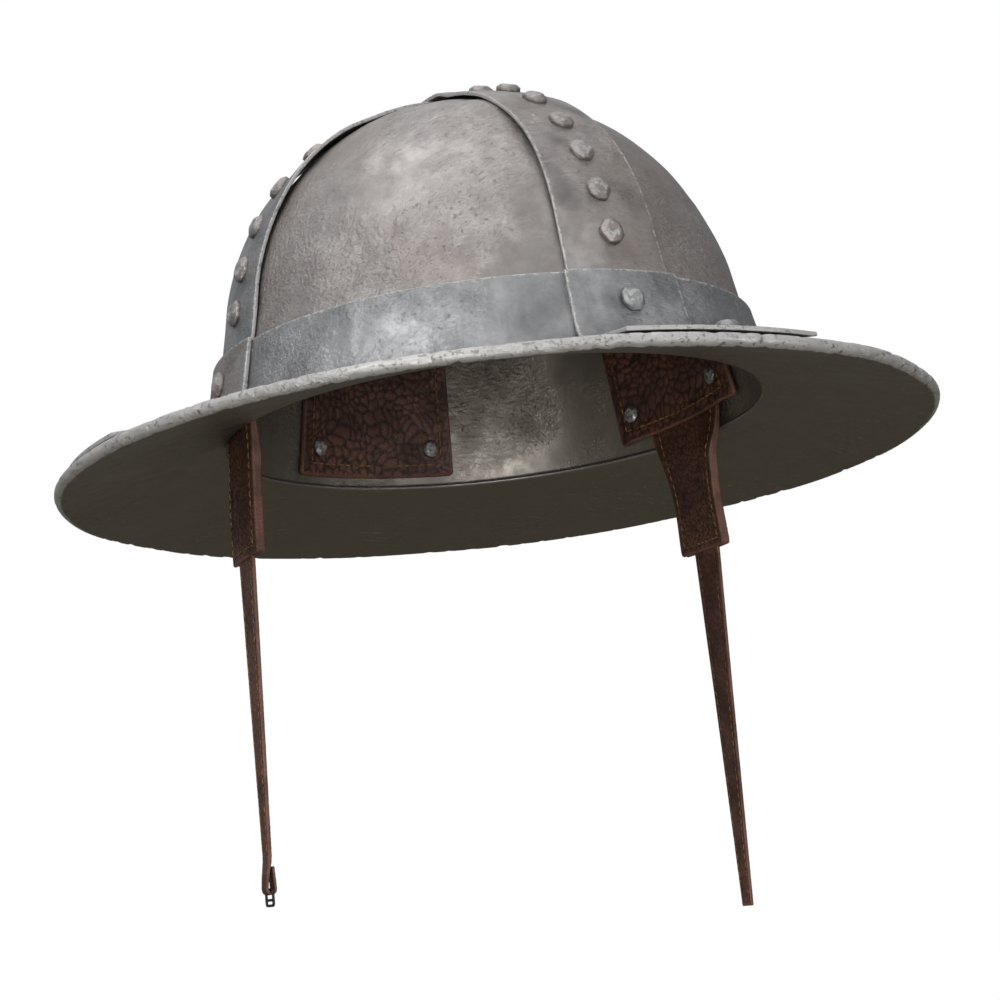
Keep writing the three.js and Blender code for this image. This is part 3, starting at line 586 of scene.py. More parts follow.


def make_brim():
    """The profile's points are carried round the axis. The rim's points move inwards by nicks: the
    part of a random field that lies below a threshold."""
    arc = np.linspace(UNDERSIDE_ANGLE - np.pi / 2, TOP_ANGLE + np.pi / 2, RIM_ROWS)
    rim = RIM_CENTRE + RIM_RADIUS * np.stack([np.cos(arc), np.sin(arc)], axis=-1)
    inner = OPENING_RADIUS + OPENING_EDGE
    share = np.linspace(0, 1, SLOPE_ROWS, endpoint=False)[:, None]
    lower = np.array([inner, 0]) * (1 - share) + rim[0] * share
    upper = (np.array([inner, BRIM_SHEET]) * (1 - share) + rim[-1] * share)[::-1]
    edge = np.array([[OPENING_RADIUS, BRIM_SHEET - OPENING_EDGE], [OPENING_RADIUS, OPENING_EDGE]])
    profile = np.concatenate([lower, rim, upper, edge])
    azimuth = np.linspace(0, 2 * np.pi, BRIM_SEGMENTS, endpoint=False)
    radius, z = profile[:, :1], profile[:, 1:]
    points = polar(radius, azimuth, z)
    on_rim = 1 - smoothstep(np.hypot(*(profile - RIM_CENTRE).T) - RIM_RADIUS, 0, RIM_WEAR)
    knocked = unevenness(points, NICK_SIZE, 3) + 0.6 * unevenness(points, NICK_SIZE / 2, 4)
    nicks = NICK_DEPTH * np.minimum(knocked + 0.2, 0) * on_rim[:, None]
    outwards = smoothstep(radius, OPENING_RADIUS, BRIM_RADIUS)
    swell = BRIM_SWELL * unevenness(points, BRIM_SWELL_SIZE, 5) * outwards
    to_rim = points - polar(np.full_like(radius, RIM_CENTRE[0]), azimuth, RIM_CENTRE[1])
    outward = to_rim / np.linalg.norm(to_rim, axis=-1, keepdims=True)
    points = points + outward * nicks[..., None]
    points[..., 2] += swell
    ids = np.arange(radius.size * BRIM_SEGMENTS).reshape(radius.size, BRIM_SEGMENTS)
    quads = grid_quads(closed_ring(np.vstack([ids, ids[:1]])))
    # painted shade: the underside and the lowest part of the rim's arc are marked for a darker colour
    under = np.zeros(len(profile))
    under[:SLOPE_ROWS] = 1
    under[SLOPE_ROWS : SLOPE_ROWS + RIM_ROWS] = 1 - smoothstep(arc, *UNDER_ARC)
    marks = [np.repeat(values[:, None], BRIM_SEGMENTS, axis=1) for values in (on_rim, under)]
    return shape(points, quads, wear=marks[0] * (1 - marks[1]), groove=0 * marks[0], under=marks[1])


add_piece("finished_brim", make_brim(), dome_steel, ["brim"])

# %% [markdown]
# ## Crossed straps
# Two forged straps cross over the dome, the one from front to back on top. Their edges spring a
# little off the dome, which gives the dark line beside each strap. A curve with a bevel profile
# could be bent over the dome, but a sheet on the dome's own formula keeps its distance everywhere.

# %% Straps
STRAP_SHEET = 1.6 * MM
STRAP_TOP_HALF_WIDTH = 17.8 * MM
STRAP_EDGE_LIFT = 1.3 * MM
STRAP_END = np.radians(-9.5)  # elevation of the hidden lower ends
STRAP_TAPER = (2, 55)  # elevations in degrees between which a strap narrows
LIFT_RISE = (8, 22)  # and between which its edges come off the dome
LIFT_FALL = (58, 68)  # and go back to it
SIDE_STRAP_SETBACK = 7 * MM
CROSSING_CLEARANCE = 6 * MM
CROSSING_RAMP = 12 * MM
SIDE_TURN = np.pi / 2


def crossing_rise(along):
    """How far the crown strap rises over the side strap: its thickness on the crossing, and a
    smooth ramp on both sides."""
    distance = np.abs((along - np.pi / 2) * POLE_RADIUS - SIDE_STRAP_SETBACK)
    clear = STRAP_TOP_HALF_WIDTH + CROSSING_CLEARANCE
    return (STRAP_SHEET + GAP) * (1 - smoothstep(distance, clear, clear + CROSSING_RAMP))


def level(along):
    """No rise."""
    return 0 * along


def strap_point(along, across, offset):
    """Point over the crown: along is the angle from one brow to the other, across the distance to
    the side of the middle plane, and offset the distance off the dome."""
    side = across / EQUATOR_RADIUS
    ray = np.stack([np.sin(side), -np.cos(side) * np.cos(along), np.cos(side) * np.sin(along)], axis=-1)
    return ray * shell_reach(np.arcsin(ray[..., 2]), offset)[..., None] + [0, 0, EQUATOR_Z]


def make_strap(brow_half_width, middle, rise_at, turn, seed):
    """A sheet over the crown. Its half width narrows from the brow to the top, and its edges lift
    with the square of the distance from its middle, unevenly along its length."""
    arc = np.pi - 2 * STRAP_END
    size = (arc * EQUATOR_RADIUS, 2 * brow_half_width)

    def place(s, t, h):
        along = STRAP_END + s / EQUATOR_RADIUS
        elevation = np.degrees(np.minimum(along, np.pi - along))
        share = t / brow_half_width - 1
        narrow = smoothstep(elevation, *STRAP_TAPER)
        half_width = brow_half_width + (STRAP_TOP_HALF_WIDTH - brow_half_width) * narrow
        lifted = smoothstep(elevation, *LIFT_RISE) * (1 - smoothstep(elevation, *LIFT_FALL))
        sprung = np.stack([s, np.sign(share) * MM, 0 * s], axis=-1)
        lift = STRAP_EDGE_LIFT * share**2 * lifted * (1 + 0.5 * unevenness(sprung, 60 * MM, seed))
        offset = GAP + rise_at(along) + lift + h
        return turned(strap_point(along, middle + share * half_width, offset), turn)

    marks = hammered(0.1 * MM, 20 * MM, seed + 1)
    return sheet(place, size, STRAP_SHEET, 1.6 * MM, STEEL_EDGE, wear=EDGE_WEAR, relief=marks)


CROWN_STRAP_HALF_WIDTH = 22.2 * MM
SIDE_STRAP_HALF_WIDTH = 18.6 * MM
crown_strap = make_strap(CROWN_STRAP_HALF_WIDTH, 0, crossing_rise, 0, 11)
side_strap = make_strap(SIDE_STRAP_HALF_WIDTH, SIDE_STRAP_SETBACK, level, SIDE_TURN, 21)
add_piece("finished_crown_strap", crown_strap, dome_steel, ["crown_strap"])
# painted reflection: the side strap takes the darker, bluer band steel, which paints on a dark bluish
# reflection
add_piece("finished_side_strap", side_strap, band_steel, ["side_strap"])

# %% [markdown]
# ## Brow band
# The brow band is four lengths of bluish steel round the foot of the dome. Each is cut off under
# the angle plates. A ring cut in four would do, but each length is its own piece on the hat.

# %% Brow band
BAND_SHEET = 1.8 * MM
BAND_TOP_Z = 32.75 * MM
FRONT_PLATE_HALF_ANGLE = np.radians(12.5)
SIDE_PLATE_HALF_ANGLE = np.radians(12.6)
SIDE_PLATE_SETBACK = np.radians(2)
PLATE_OVERLAP_ANGLE = np.radians(0.6)
SIDE_AZIMUTH = np.pi / 2 + np.arcsin(SIDE_STRAP_SETBACK / EQUATOR_RADIUS) + SIDE_PLATE_SETBACK
PLATES = {  # azimuth and half the angle that the plate covers on the brow
    "front": (0, FRONT_PLATE_HALF_ANGLE),
    "left": (SIDE_AZIMUTH, SIDE_PLATE_HALF_ANGLE),
    "back": (np.pi, FRONT_PLATE_HALF_ANGLE),
    "right": (2 * np.pi - SIDE_AZIMUTH, SIDE_PLATE_HALF_ANGLE),
}
BANDS = {  # the plates at a band's two ends
    "front_left": ("front", "left"),
    "back_left": ("left", "back"),
    "back_right": ("back", "right"),
    "front_right": ("right", "front"),
}


def make_band(first, last, seed):
    """A sheet on the wall between two azimuths, from the brim's top to the band's upper edge."""
    start = PLATES[first][0] + PLATES[first][1] - PLATE_OVERLAP_ANGLE
    end = PLATES[last][0] - PLATES[last][1] + PLATE_OVERLAP_ANGLE
    end += 2 * np.pi * (end < start)
    low = wall_foot(GAP, 0.5 * GAP)
    size = ((end - start) * EQUATOR_RADIUS, BAND_TOP_Z - low)

    def place(s, t, h):
        z = low + t
        return polar(wall_radius(z, GAP + h), start + s / EQUATOR_RADIUS, z)

    marks = hammered(0.11 * MM, 22 * MM, seed)
    return sheet(place, size, BAND_SHEET, STEEL_STEP, STEEL_EDGE, wear=EDGE_WEAR, relief=marks)


for order, (name, (first, last)) in enumerate(BANDS.items()):
    band = make_band(first, last, 31 + order)
    add_piece(f"finished_brow_band_{name}", band, band_steel, [f"brow_band_{name}"])

# %% [markdown]
# ## Rivets
# A rivet head is hammered down over the strap, so it has a flat top and facets, and no two are
# alike. A scaled sphere would look machined. Each head here is the lowest of a tilted top and eight
# chamfers, inside an uneven eight-sided outline.

# %% Rivet heads
RIVET_RADIUS = 5 * MM
RIVET_HEIGHT = 3.2 * MM
RIVET_SIDES = 8
RIVET_RINGS = 14
RIVET_SEGMENTS = 48
RIVET_STRETCH = 1.1  # heads are longer along a strap than across it
RIVET_SUNK = 0.9 * MM  # depth of the skirt below what carries the rivet
FACET_SHARPNESS = 18


def rivet_head(centre, normal, along, radius, height, seed):
    """Rings of points inside a polygon's outline, min(d / cos(angle - side)). The height is a soft
    minimum of the top and one sloping plane for each side, -log(sum(exp(-k h))) / k."""
    rng = np.random.default_rng(seed)
    sides = (np.arange(RIVET_SIDES) + rng.uniform(-0.22, 0.22, RIVET_SIDES)) * 2 * np.pi / RIVET_SIDES
    reach = radius * rng.uniform(0.92, 1, RIVET_SIDES)
    angle = np.linspace(0, 2 * np.pi, RIVET_SEGMENTS, endpoint=False)
    toward = np.maximum(np.cos(angle[:, None] - sides), 0.2)
    outline = np.minimum((reach / toward).min(axis=1), 1.03 * radius)
    ring = np.linspace(0, 1, RIVET_RINGS + 1)[1:, None]
    x, y = ring * outline * np.cos(angle), ring * outline * np.sin(angle)
    outward = (x[..., None] * np.cos(sides) + y[..., None] * np.sin(sides)) / reach
    starts = rng.uniform(0.5, 0.68, RIVET_SIDES)
    chamfers = 1 - rng.uniform(1.0, 1.5, RIVET_SIDES) * (outward - starts)
    tilt = rng.uniform(-0.12, 0.12, 2) / radius
    top = 0.98 - 0.07 * (x**2 + y**2) / radius**2 + tilt[0] * x + tilt[1] * y
    planes = np.concatenate([chamfers, top[..., None]], axis=-1)
    up = -height * np.log(np.exp(-FACET_SHARPNESS * planes).sum(axis=-1)) / FACET_SHARPNESS
    skirt = np.stack([x[-1], y[-1], np.full(RIVET_SEGMENTS, -RIVET_SUNK)], axis=-1)
    local = np.concatenate([np.stack([x, y, up], axis=-1), skirt[None]]).reshape(-1, 3)
    local = np.concatenate([local, [[0, 0, up[0].mean()], [0, 0, -RIVET_SUNK]]])
    ids = closed_ring(np.arange((RIVET_RINGS + 1) * RIVET_SEGMENTS).reshape(RIVET_RINGS + 1, -1))
    summit, base = ids.max() + 1, ids.max() + 2
    caps = np.concatenate([fan(summit, ids[0]), fan(base, ids[-1, ::-1])])
    normal = normal / np.linalg.norm(normal)
    sideways = np.cross(normal, along)
    sideways /= np.linalg.norm(sideways)
    axes = np.stack([RIVET_STRETCH * np.cross(sideways, normal), sideways, normal])
    wear = 0.6 * smoothstep(local[:, 2], 0.6 * height, 0.95 * height)
    # the head is mixed darker towards its foot, where it meets the sheet it sits on
    darker_at_foot = 1 - smoothstep(local[:, 2], 0, 0.5 * height)
    return shape(centre + local @ axes, grid_quads(ids), caps, wear=wear, groove=darker_at_foot, under=0 * wear)


def strap_rivet(along, middle, rise_at, turn, seed):
    """A head on the middle of a strap, square to the chord between the points beside it."""
    step = RIVET_RADIUS / EQUATOR_RADIUS
    around = np.array([along - step, along + step])
    behind, ahead = strap_point(around, np.full(2, middle), GAP + STRAP_SHEET + rise_at(around))
    chord = ahead - behind
    normal = turned(np.cross([1, 0, 0], chord), turn)
    centre = turned((behind + ahead) / 2, turn)
    return rivet_head(centre, normal, turned(chord, turn), RIVET_RADIUS, RIVET_HEIGHT, seed)


CROWN_RIVETS = np.radians([12.8, 22.9, 33.4, 44, 56, 67.5, 79])  # front half, by elevation
SIDE_RIVETS = np.radians([12.4, 22.3, 32.8, 43.4, 55.2])
crown_row = np.concatenate([CROWN_RIVETS, [np.pi / 2], np.pi - CROWN_RIVETS[::-1]])
for order, along in enumerate(crown_row):
    head = strap_rivet(along, 0, crossing_rise, 0, 100 + order)
    name = f"crown_rivet_{order + 1}"
    add_piece(f"finished_{name}", head, dome_steel, [name])
for order, along in enumerate(SIDE_RIVETS):
    for side, angle in (("left", along), ("right", np.pi - along)):
        seed = 130 + 2 * order + (side == "left")
        head = strap_rivet(angle, SIDE_STRAP_SETBACK, level, SIDE_TURN, seed)
        name = f"{side}_rivet_{order + 1}"
        add_piece(f"finished_{name}", head, dome_steel, [name])

# %% [markdown]
# ## Angle plates
# At the end of each strap a bent plate ties the crown to the brim: one leg lies on the brow, over
# the strap and the bands, and the other runs out to the rim. A subdivided plane could be bent by
# hand. Here a path goes down the wall and out along the brim, its corner rounded by a quadratic
# curve, and the plate is a sheet along it, with its four rivets joined on.

# %% Angle plates
PLATE_SHEET = 1.8 * MM
PLATE_TOP_Z = 33.2 * MM
PLATE_END_RADIUS = 180.5 * MM
PLATE_END_HALF_ANGLE = np.radians(13.2)
PLATE_UNDER = 2 * GAP + BAND_SHEET
PLATE_BEND = 12 * MM  # length of each leg that the bend takes up
PLATE_END_LIFT = 0.7 * MM  # extra air under a plate's outer end
BROW_RIVET_Z = 20 * MM
BRIM_RIVETS = np.array([137, 153, 170]) * MM
BRIM_RIVET_TURN = np.radians(2)  # the row on the brim is this far off the plate's middle


def plate_section(s, h, legs):
    """Radius and height at a distance along the plate: two straight legs, blended at the corner by
    (1 - q)^2 A + 2 q (1 - q) B + q^2 C between points A and C on the legs and the corner B."""
    corner_z = wall_foot(PLATE_UNDER + h, GAP + h)
    corner = np.stack([wall_radius(corner_z, PLATE_UNDER + h), corner_z])
    top = np.stack([wall_radius(PLATE_TOP_Z, PLATE_UNDER + h), PLATE_TOP_Z + 0 * h])
    end_z = brim_top(PLATE_END_RADIUS) + (GAP + PLATE_END_LIFT + h) * TOP_SLANT
    end = np.stack([PLATE_END_RADIUS + 0 * h, end_z])
    down = np.clip(s / legs[0], 0, 1)
    out = np.clip((s - legs[0]) / legs[1], 0, 1)
    straight = np.where(s < legs[0], top + (corner - top) * down, corner + (end - corner) * out)
    before = corner + (top - corner) * PLATE_BEND / legs[0]
    after = corner + (end - corner) * PLATE_BEND / legs[1]
    q = np.clip((s - legs[0]) / (2 * PLATE_BEND) + 0.5, 0, 1)
    curve = (1 - q) ** 2 * before + 2 * q * (1 - q) * corner + q**2 * after
    return np.where(np.abs(s - legs[0]) < PLATE_BEND, curve, straight)


def make_plate(azimuth, half_angle, seed):
    """A sheet along the bent path whose half angle grows with the radius, with a rivet on the brow
    and three on the brim."""
    foot = wall_foot(PLATE_UNDER, GAP)
    top_radius = wall_radius(PLATE_TOP_Z, PLATE_UNDER)
    brow = (PLATE_TOP_Z - foot) * WALL_SLANT
    legs = (brow, (PLATE_END_RADIUS - wall_radius(foot, PLATE_UNDER)) * TOP_SLANT)
    size = (sum(legs), 2 * half_angle * EQUATOR_RADIUS)

    def place(s, t, h):
        radius, z = plate_section(s, h, legs)
        out = (radius - top_radius) / (PLATE_END_RADIUS - top_radius)
        spread = half_angle + (PLATE_END_HALF_ANGLE - half_angle) * out
        return polar(radius, azimuth + spread * (2 * t / size[1] - 1), z)

    marks = hammered(0.11 * MM, 20 * MM, seed)
    parts = [sheet(place, size, PLATE_SHEET, STEEL_STEP, STEEL_EDGE, wear=EDGE_WEAR, relief=marks)]
    brow_radius = wall_radius(BROW_RIVET_Z, PLATE_UNDER + PLATE_SHEET)
    centres = [polar(brow_radius, azimuth, BROW_RIVET_Z)]
    corner = wall_radius(foot, PLATE_UNDER)
    lift = PLATE_END_LIFT * (BRIM_RIVETS - corner) / (PLATE_END_RADIUS - corner)
    heights = brim_top(BRIM_RIVETS) + (GAP + PLATE_SHEET + lift) * TOP_SLANT
    centres += list(polar(BRIM_RIVETS, azimuth + BRIM_RIVET_TURN, heights))
    normals = [polar(1, azimuth, WALL_FLARE)] + 3 * [polar(-TOP_SLOPE, azimuth, 1)]
    downhill = [polar(WALL_FLARE, azimuth, -1)] + 3 * [polar(1, azimuth, TOP_SLOPE)]
    for order, facts in enumerate(zip(centres, normals, downhill)):
        parts.append(rivet_head(*facts, RIVET_RADIUS, RIVET_HEIGHT, seed + order))
    return joined(parts)


for order, (name, (azimuth, half_angle)) in enumerate(PLATES.items()):
    plate = make_plate(azimuth, half_angle, 200 + 10 * order)
    finish = band_steel if name in ("front", "back") else dome_steel
    add_piece(f"finished_angle_plate_{name}", plate, finish, [f"angle_plate_{name}"])

# %% [markdown]
# ## Leather patches
# Three stitched leather patches line the inside of the crown, each held by two rivets. Leather
# grain is often a bump in the material, but these pebbles are several millimetres across and catch
# the light one by one, so they are real relief: grooves run where two scattered points are equally
# near.


# %% Pebbles and stitches
def pebbles(s, t, cell, seed):
    """Grooves and small domes: the difference of the distances to the two nearest points of a
    jittered grid is 0 in a groove and grows towards the middle of a pebble."""
    spread = 64
    jitter = np.random.default_rng(seed).uniform(0, 1, (spread, spread, 2))
    flat = np.stack([s, t, 0 * s], axis=-1)
    s = s + 0.5 * cell * unevenness(flat, 5 * cell, seed)
    t = t + 0.5 * cell * unevenness(flat, 5 * cell, seed + 1)
    column, row = np.floor(s / cell).astype(int), np.floor(t / cell).astype(int)
    distances = []
    for step in np.ndindex(3, 3):
        i, j = column + step[0] - 1, row + step[1] - 1
        point = jitter[i % spread, j % spread]
        distances.append(np.hypot((i + point[..., 0]) * cell - s, (j + point[..., 1]) * cell - t))
    nearest, second = np.sort(np.stack(distances), axis=0)[:2]
    apart = (second - nearest) / cell
    return smoothstep(apart, 0, 0.3) - 1 + 0.35 * smoothstep(apart, 0.1, 0.9)


STITCH_PITCH = 3.8 * MM
STITCH_SHARE = 0.84  # of the pitch that the thread shows
PATCH_THREAD = 0.45 * MM  # radii of the thread
TAB_THREAD = 0.38 * MM
STRAP_THREAD = 0.24 * MM
STITCH_SIDES = 6
STITCH_STEPS = 6


def stitches(place, lines, height, thread_radius):
    """Short threads along lines of (s, t) corners: each is a tube whose centre follows the leather,
    rises in its middle by the sine of its share and sinks at both ends."""
    starts, steps = [], []
    for begin, finish in lines:
        run = np.subtract(finish, begin)
        count = max(1, round(np.hypot(*run) / STITCH_PITCH))
        starts.append(np.array(begin) + run * np.arange(count)[:, None] / count)
        steps.append(np.repeat(run[None] / count * STITCH_SHARE, count, axis=0))
    starts, steps = np.concatenate(starts), np.concatenate(steps)
    share = np.linspace(0, 1, STITCH_STEPS)
    s, t = (starts[:, None] + steps[:, None] * share[:, None]).transpose(2, 0, 1)
    surface = place(s, t, height + 0 * s)
    normal = place(s, t, height + MM + 0 * s) - surface
    normal /= np.linalg.norm(normal, axis=-1, keepdims=True)
    run = surface[:, -1:] - surface[:, :1]
    across = np.cross(normal, run / np.linalg.norm(run, axis=-1, keepdims=True))
    centre = surface + normal * (thread_radius * (1.1 * np.sin(np.pi * share) - 0.6))[:, None]
    turn = np.linspace(0, 2 * np.pi, STITCH_SIDES, endpoint=False)[:, None]
    ring = np.cos(turn) * across[:, :, None] + np.sin(turn) * normal[:, :, None]
    thick = thread_radius * np.sqrt(np.sin(np.pi * np.clip(share, 0.04, 0.96)))
    points = centre[:, :, None] + ring * thick[:, None, None]
    count = len(points)
    ids = np.arange(count * STITCH_STEPS * STITCH_SIDES).reshape(count, STITCH_STEPS, STITCH_SIDES)
    ids = np.concatenate([ids, ids[..., :1]], axis=-1)
    corners = [ids[:, :-1, :-1], ids[:, 1:, :-1], ids[:, 1:, 1:], ids[:, :-1, 1:]]
    quads = np.stack(corners, axis=-1).reshape(-1, 4)
    first = [ids[:, 0, [0, k, k + 1]] for k in range(1, STITCH_SIDES - 1)]
    last = [ids[:, -1, [0, k + 1, k]] for k in range(1, STITCH_SIDES - 1)]
    return shape(points, quads, np.concatenate(first + last))


def sewn_through(place, lines, thickness, thread_radius):
    """Thread on both faces of a sheet. On the back, height is measured the other way."""
    def behind(s, t, h):
        return place(s, t, -h)

    front = stitches(place, lines, thickness, thread_radius)
    return joined([front, stitches(behind, lines, 0, thread_radius)])


# %% Patches
PATCH_SHEET = 2.6 * MM
PATCH_CLEARANCE = 0.6 * MM
PATCH_HALF_ANGLE = np.radians(20.5)
PATCH_TOP_Z = 62 * MM
PATCH_BEND = (9 * MM, 17 * MM)  # a side patch comes back to the skull this far beyond the tab
PATCH_STITCH_INSET = 5.4 * MM
PATCH_RIVET_RADIUS = 3.8 * MM
PATCH_RIVET_HEIGHT = 2.2 * MM
PATCH_RIVET_ANGLE = np.radians(15.2)
PATCH_RIVET_RISE = 12.5 * MM
PEBBLE = 4.2 * MM
PEBBLE_DEPTH = 0.42 * MM
LEATHER_STEP = 0.75 * MM
TAB_AZIMUTH = np.radians(99.3)
TAB_RADIUS = 112.4 * MM
TAB_CLEARANCE = 0.5 * MM
TAB_THIN = 2.2 * MM
TAB_HALF_WIDTH = 22.5 * MM
SIDE_TILT = 0.055  # a side patch's lower edge climbs this much towards the front
PATCHES = {  # azimuth, height of the lower edge, tilt, and whether a tab lies behind the patch
    "back": (np.radians(182.2), 5.5 * MM, 0, False),
    "left": (TAB_AZIMUTH, 8 * MM, -SIDE_TILT, True),
    "right": (-TAB_AZIMUTH, 8 * MM, SIDE_TILT, True),
}


def tab_radius(z):
    """Radius of a tab's outer face: on the skull's inside, but never too wide for the opening."""
    return np.minimum(TAB_RADIUS, shell_radius(z, -SKULL_SHEET - TAB_CLEARANCE))


def patch_radius(z, distance, over_tab):
    """Radius of a patch's outer face. Over a tab it lies on the tab, and it comes back to the skull
    beyond the tab's edges."""
    on_skull = shell_radius(z, -SKULL_SHEET - PATCH_CLEARANCE)
    on_tab = tab_radius(z) - TAB_THIN - GAP
    beyond = smoothstep(np.abs(distance) - TAB_HALF_WIDTH, *PATCH_BEND)
    return np.where(over_tab, on_tab + (on_skull - on_tab) * beyond, on_skull)


def make_patch(azimuth, low, tilt, over_tab, seed):
    """A pebbled sheet on the inside of the crown, its thread along all four edges, and its rivets,
    which face the head."""
    length = 2 * PATCH_HALF_ANGLE * EQUATOR_RADIUS
    width = PATCH_TOP_Z - low

    def place(s, t, h):
        distance = s - length / 2
        z = low + t + tilt * distance
        radius = patch_radius(z, distance, over_tab) - h
        return polar(radius, azimuth + distance / EQUATOR_RADIUS, z)

    def grain(s, t, front):
        return PEBBLE_DEPTH * pebbles(s, t, PEBBLE, seed) if front else plain(s, t, front)

    edges = {"edge": 1.1 * MM, "corner": 2 * MM, "wear": 1.3 * MM}
    leather_part = sheet(place, (length, width), PATCH_SHEET, LEATHER_STEP, relief=grain, **edges)
    low_s, high_s = PATCH_STITCH_INSET, length - PATCH_STITCH_INSET
    low_t, high_t = PATCH_STITCH_INSET, width - PATCH_STITCH_INSET
    corners = [(low_s, low_t), (high_s, low_t), (high_s, high_t), (low_s, high_t)]
    sewn = stitches(place, list(zip(corners, corners[1:] + corners[:1])), PATCH_SHEET, PATCH_THREAD)
    heads = []
    for hand in (-1, 1):
        distance = hand * PATCH_RIVET_ANGLE * EQUATOR_RADIUS
        s, t = np.array(length / 2 + distance), np.array(PATCH_RIVET_RISE)
        centre = place(s, t, PATCH_SHEET)
        inward = place(s, t, PATCH_SHEET + MM) - centre
        size = (PATCH_RIVET_RADIUS, PATCH_RIVET_HEIGHT)
        heads.append(rivet_head(centre, inward, [0, 0, 1], *size, seed + 5 + hand))
    return leather_part, sewn, heads


for order, (name, facts) in enumerate(PATCHES.items()):
    leather_part, sewn, heads = make_patch(*facts, 300 + 20 * order)
    add_piece(f"finished_patch_{name}", leather_part, leather, [f"patch_{name}"])
    add_piece(f"patch_{name}_thread", sewn, thread)
    for letter, head in zip("ab", heads):
        rivet = f"patch_{name}_rivet_{letter}"
        add_piece(f"finished_{rivet}", head, band_steel, [rivet])

# %% [markdown]
# ## Strap tabs
# A doubled leather tab hangs out of the crown behind each side patch and carries the chin strap.
# It narrows, thickens and turns as it comes down. Each of these is a smooth curve through a few
# sections, which is easier to read and to change than a sculpted mesh.

# %% Strap tabs
TAB_THICK = 4.4 * MM
TAB_TURN = np.radians(4.8)
TAB_STITCH_INSET = 3.6 * MM  # from the ends
TAB_SIDE_INSET = 4.5 * MM  # from the sides, where the tab is at its widest
TAB_SECTIONS = np.array([
    # height, half width, thickness, move away from the axis, share of TAB_TURN
    [-51, 15.7, 4.4, 2, 1],
    [-20, 16, 4.4, 0.7, 1],
    [-8, 18, 4.4, 0, 0.5],
    [1, 21, 3, 0, 0],
    [7, 22.5, 2.2, 0, 0],
    [22, 22.5, 2.2, 0, 0],
]) * [MM, MM, MM, MM, 1]


def smooth_curve(x, knots, values):
    """Cubic Hermite curve through knots: its slope at each one is a mean of the chords beside it."""
    slopes = np.gradient(values, knots)
    i = np.clip(np.searchsorted(knots, x) - 1, 0, len(knots) - 2)
    span = knots[i + 1] - knots[i]
    u = (x - knots[i]) / span
    ends = (2 * u**3 - 3 * u**2 + 1) * values[i] + (3 * u**2 - 2 * u**3) * values[i + 1]
    return ends + span * ((u**3 - 2 * u**2 + u) * slopes[i] + (u**3 - u**2) * slopes[i + 1])


def make_tab(hand, seed):
    """A pebbled sheet on an upright cylinder round the hat's axis. Each level is turned about its
    own middle by its share of TAB_TURN."""
    heights = TAB_SECTIONS[:, 0]
    length = heights[-1] - heights[0]
    width = 2 * TAB_HALF_WIDTH

    def place(s, t, h):
        z = heights[0] + s
        curves = [smooth_curve(z, heights, column) for column in TAB_SECTIONS.T[1:]]
        half_width, thickness, outward, turn = curves
        outer = tab_radius(z) + outward
        azimuth = (2 * t / width - 1) * half_width / TAB_RADIUS
        radius = outer - thickness * (1 - h / TAB_THICK)
        middle = outer - thickness / 2
        x, y = radius * np.sin(azimuth), middle - radius * np.cos(azimuth)
        angle = -hand * turn * TAB_TURN
        c, k = np.cos(angle), np.sin(angle)
        points = np.stack([c * x - k * y, k * x + c * y - middle, z], axis=-1)
        return turned(points, hand * TAB_AZIMUTH)

    def grain(s, t, front):
        return 0.8 * PEBBLE_DEPTH * pebbles(s, t, 0.62 * PEBBLE, seed + front)

    edges = {"edge": 1.2 * MM, "corner": 2 * MM, "wear": 1.4 * MM, "seam": 0.35 * MM}
    leather_part = sheet(place, (length, width), TAB_THICK, LEATHER_STEP, relief=grain, **edges)
    near, far = TAB_SIDE_INSET, width - TAB_SIDE_INSET
    low, high = TAB_STITCH_INSET, length - TAB_STITCH_INSET
    lines = [((high, near), (low, near)), ((low, near), (low, far)), ((low, far), (high, far))]
    return leather_part, sewn_through(place, lines, TAB_THICK, TAB_THREAD)


for hand, name in ((1, "left"), (-1, "right")):
    leather_part, sewn = make_tab(hand, 400 + hand)
    add_piece(f"finished_strap_tab_{name}", leather_part, leather, [f"strap_tab_{name}"])
    add_piece(f"strap_tab_{name}_thread", sewn, thread)

# %% [markdown]
# ## Chin straps and buckle
# The chin straps are flat tapering leather that hangs from a pocket in each tab. One ends in a
# plain cut, the other is turned round a small buckle. Cloth simulation has nothing to add to a
# strap that hangs straight, so both are sheets along a path, and the loop is part of that path.

# %% Chin straps
CHIN_STRAP_SHEET = 1.6 * MM
STRAP_LEAN_BACK = np.radians(2.9)
STRAP_LEAN_OUT = np.radians(0.85)
STRAP_DROPS = np.array([-9, 0, 66, 157]) * MM
STRAP_HALF_WIDTHS = np.array([8.5, 8.5, 6, 3.1]) * MM
LOOP_DROP = 131.5 * MM
LOOP_HALF_WIDTH = 3.2 * MM
LOOP_RADIUS = 1.7 * MM  # of the strap's middle round the buckle's bar
LOOP_SHEET = 1 * MM
LOOP_RETURN = 9 * MM  # length that is turned up behind the strap
LOOP_BEND = 14 * MM  # length over which the strap comes forward to the bar
HIDDEN_LENGTH = 10 * MM  # inside the tab's pocket
STRAP_STITCH_INSET = 2.6 * MM


def rotation(axis, angle):
    """Matrix of a turn about the x, y or z axis (0, 1 or 2)."""
    return np.array(Matrix.Rotation(angle, 3, "XYZ"[axis]))


def hang(points, hand):
    """Points of a strap's own frame (x across, z up from the pocket's mouth) put in place: leaning
    back and out, turned with the tab and moved to the middle of its lower edge."""
    lean = rotation(0, -STRAP_LEAN_OUT) @ rotation(1, -hand * STRAP_LEAN_BACK)
    turn = rotation(2, -hand * TAB_TURN) @ lean
    z, _, thickness, outward, _ = TAB_SECTIONS[0]
    mouth = np.array([0, -(TAB_RADIUS + outward - thickness / 2), z])
    return turned(points @ turn.T + mouth, hand * TAB_AZIMUTH)


